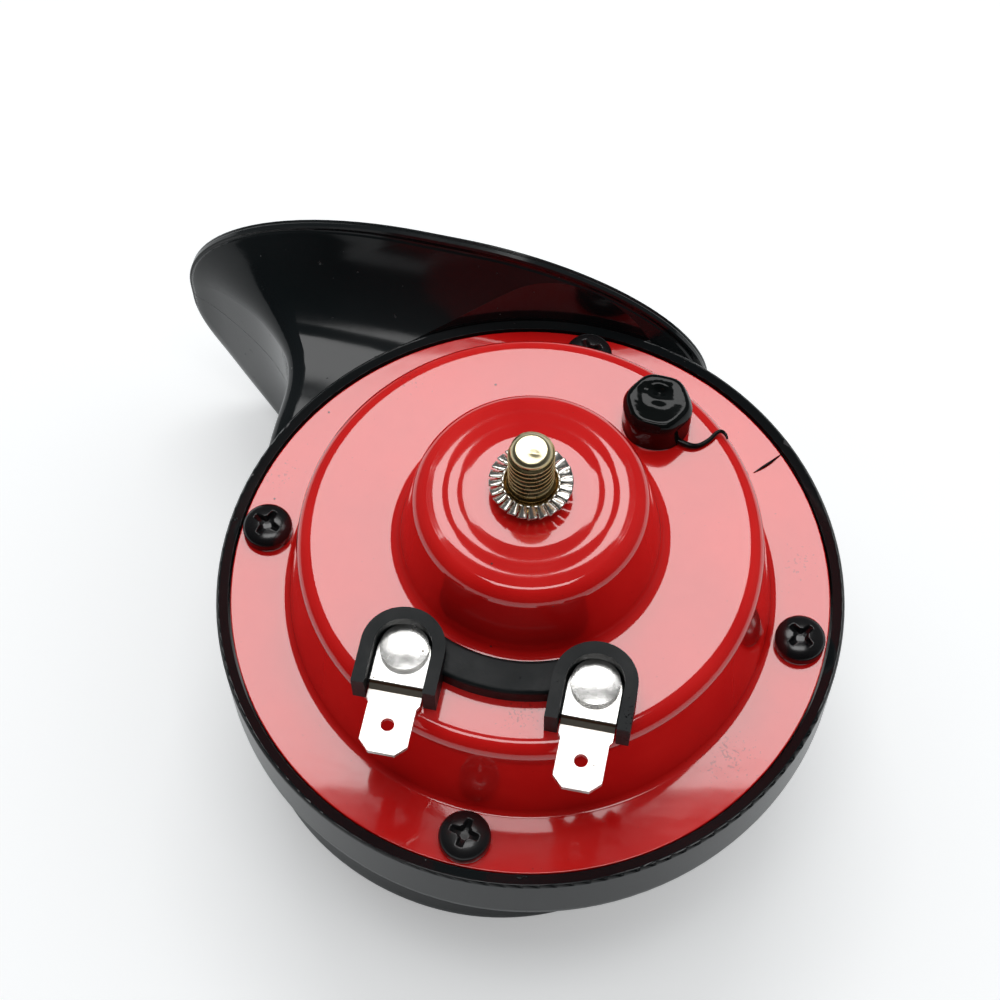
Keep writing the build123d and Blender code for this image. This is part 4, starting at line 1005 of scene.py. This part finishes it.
# ------------------------------------------------------------------ adjusting screw, diaphragm and armature
# Blackened screw under the sealant, paper gaskets, the hardened steel diaphragm with its pressed rings, and
# the soft iron armature that the core pulls, clamped to it by a washer and a nut.
plated_steel = finish_material(
    "plated_steel", ((0.52, 0.53, 0.54), (0.66, 0.67, 0.68)), (0.26, 0.42), peel=(1800.0, 3.0, 0.015), Metallic=1.0
)
spring_steel = finish_material(
    "spring_steel",
    ((0.34, 0.35, 0.37), (0.44, 0.45, 0.47)),
    (0.24, 0.40),
    scale=90.0,
    peel=(900.0, 4.0, 0.010),
    dust=(900.0, 0.2, 0.04, (0.16, 0.11, 0.07)),
    stretch=(0.1, 1.0, 1.0),
    Metallic=1.0,
)
gasket_paper = finish_material(
    "gasket_paper",
    ((0.30, 0.275, 0.22), (0.40, 0.37, 0.31)),
    (0.75, 0.9),
    scale=500.0,
    peel=(2400.0, 6.0, 0.06),
    dust=(1800.0, 0.25, 0.15, (0.18, 0.15, 0.11)),
)
dress(screw_black, "adjusting_screw")
dress(gasket_paper, "gasket_upper", "gasket_lower")
dress(spring_steel, "diaphragm")
dress(plated_steel, "armature", "diaphragm_washer", "armature_nut")

# ------------------------------------------------------------------ coil
# Moulded bobbin wound full with enamelled copper wire, whose turns lie side by side. It slips over the pole
# and a sprung steel ring holds it there.
turns, given, result = socket_group(
    "turns", (("Pitch", "NodeSocketFloat", 0.0005),), (("Height", "NodeSocketFloat"),)
)
place = add_node(turns, "ShaderNodeTexCoord").outputs["Object"]
up_by = add_node(turns, "ShaderNodeSeparateXYZ", ((0, place),)).outputs["Z"]
rows = maths(turns, "DIVIDE", up_by, given["Pitch"])
part_row = maths(turns, "FRACT", rows)
centred = maths(turns, "MULTIPLY_ADD", part_row, 2.0, -1.0)
squared = maths(turns, "MULTIPLY", centred, centred)
rounded = maths(turns, "SUBTRACT", 1.0, squared)
turns.links.new(rounded.outputs[0], result["Height"])

enamelled_copper = finish_material(
    "enamelled_copper",
    ((0.62, 0.20, 0.07), (0.78, 0.32, 0.13)),
    (0.20, 0.34),
    scale=300.0,
    peel=(2000.0, 2.0, 0.01),
    Metallic=1.0,
    Coat_Weight=0.8,
)
press_in(enamelled_copper, place_group(enamelled_copper, turns, Pitch=0.5 * MM), 0.22)
dress(enamelled_copper, "coil_winding")
inner_nylon = finish_material(
    "inner_nylon",
    ((0.045, 0.047, 0.05), (0.07, 0.072, 0.076)),
    (0.38, 0.5),
    peel=(1500.0, 3.0, 0.015),
    dust=(1500.0, 0.2, 0.05, (0.16, 0.16, 0.16)),
)
dress(inner_nylon, "coil_bobbin")
dress(spring_steel, "coil_retainer")

# ------------------------------------------------------------------ breaker and inner wiring
# Riveted stack of fibre plates and spring arms that breaks the coil's circuit, tungsten contacts, the fibre
# plate under the terminals with its brass tags, the coil's enamelled ends and the sleeved supply lead.
fibre_plate = finish_material(
    "fibre_plate",
    ((0.24, 0.085, 0.035), (0.34, 0.13, 0.06)),
    (0.5, 0.66),
    scale=260.0,
    peel=(1800.0, 5.0, 0.03),
    dust=(1600.0, 0.22, 0.10, (0.12, 0.04, 0.02)),
    stretch=(1.0, 0.2, 1.0),
)
breaker_brass = finish_material(
    "breaker_brass",
    ((0.68, 0.49, 0.20), (0.80, 0.62, 0.30)),
    (0.20, 0.36),
    scale=300.0,
    peel=(1500.0, 3.0, 0.012),
    Metallic=1.0,
)
contact_metal = finish_material(
    "contact_metal",
    ((0.62, 0.62, 0.65), (0.74, 0.74, 0.77)),
    (0.12, 0.26),
    scale=700.0,
    peel=(2600.0, 3.0, 0.008),
    dust=(2600.0, 0.3, 0.12, (0.10, 0.09, 0.08)),
    Metallic=1.0,
)
lead_sleeve = finish_material(
    "lead_sleeve", ((0.50, 0.030, 0.022), (0.60, 0.045, 0.034)), (0.34, 0.48), scale=420.0, peel=(1500.0, 2.0, 0.02)
)
dress(plated_steel, "breaker_bracket", "clamp_plate")
dress(spring_steel, "fixed_contact_arm", "moving_contact_arm")
dress(contact_metal, "fixed_contact", "moving_contact")
dress(fibre_plate, "breaker_insulators", "inner_insulator")
dress(breaker_brass, "breaker_rivets", "solder_tags")
dress(enamelled_copper, "coil_lead", "contact_lead")
dress(lead_sleeve, "supply_lead")
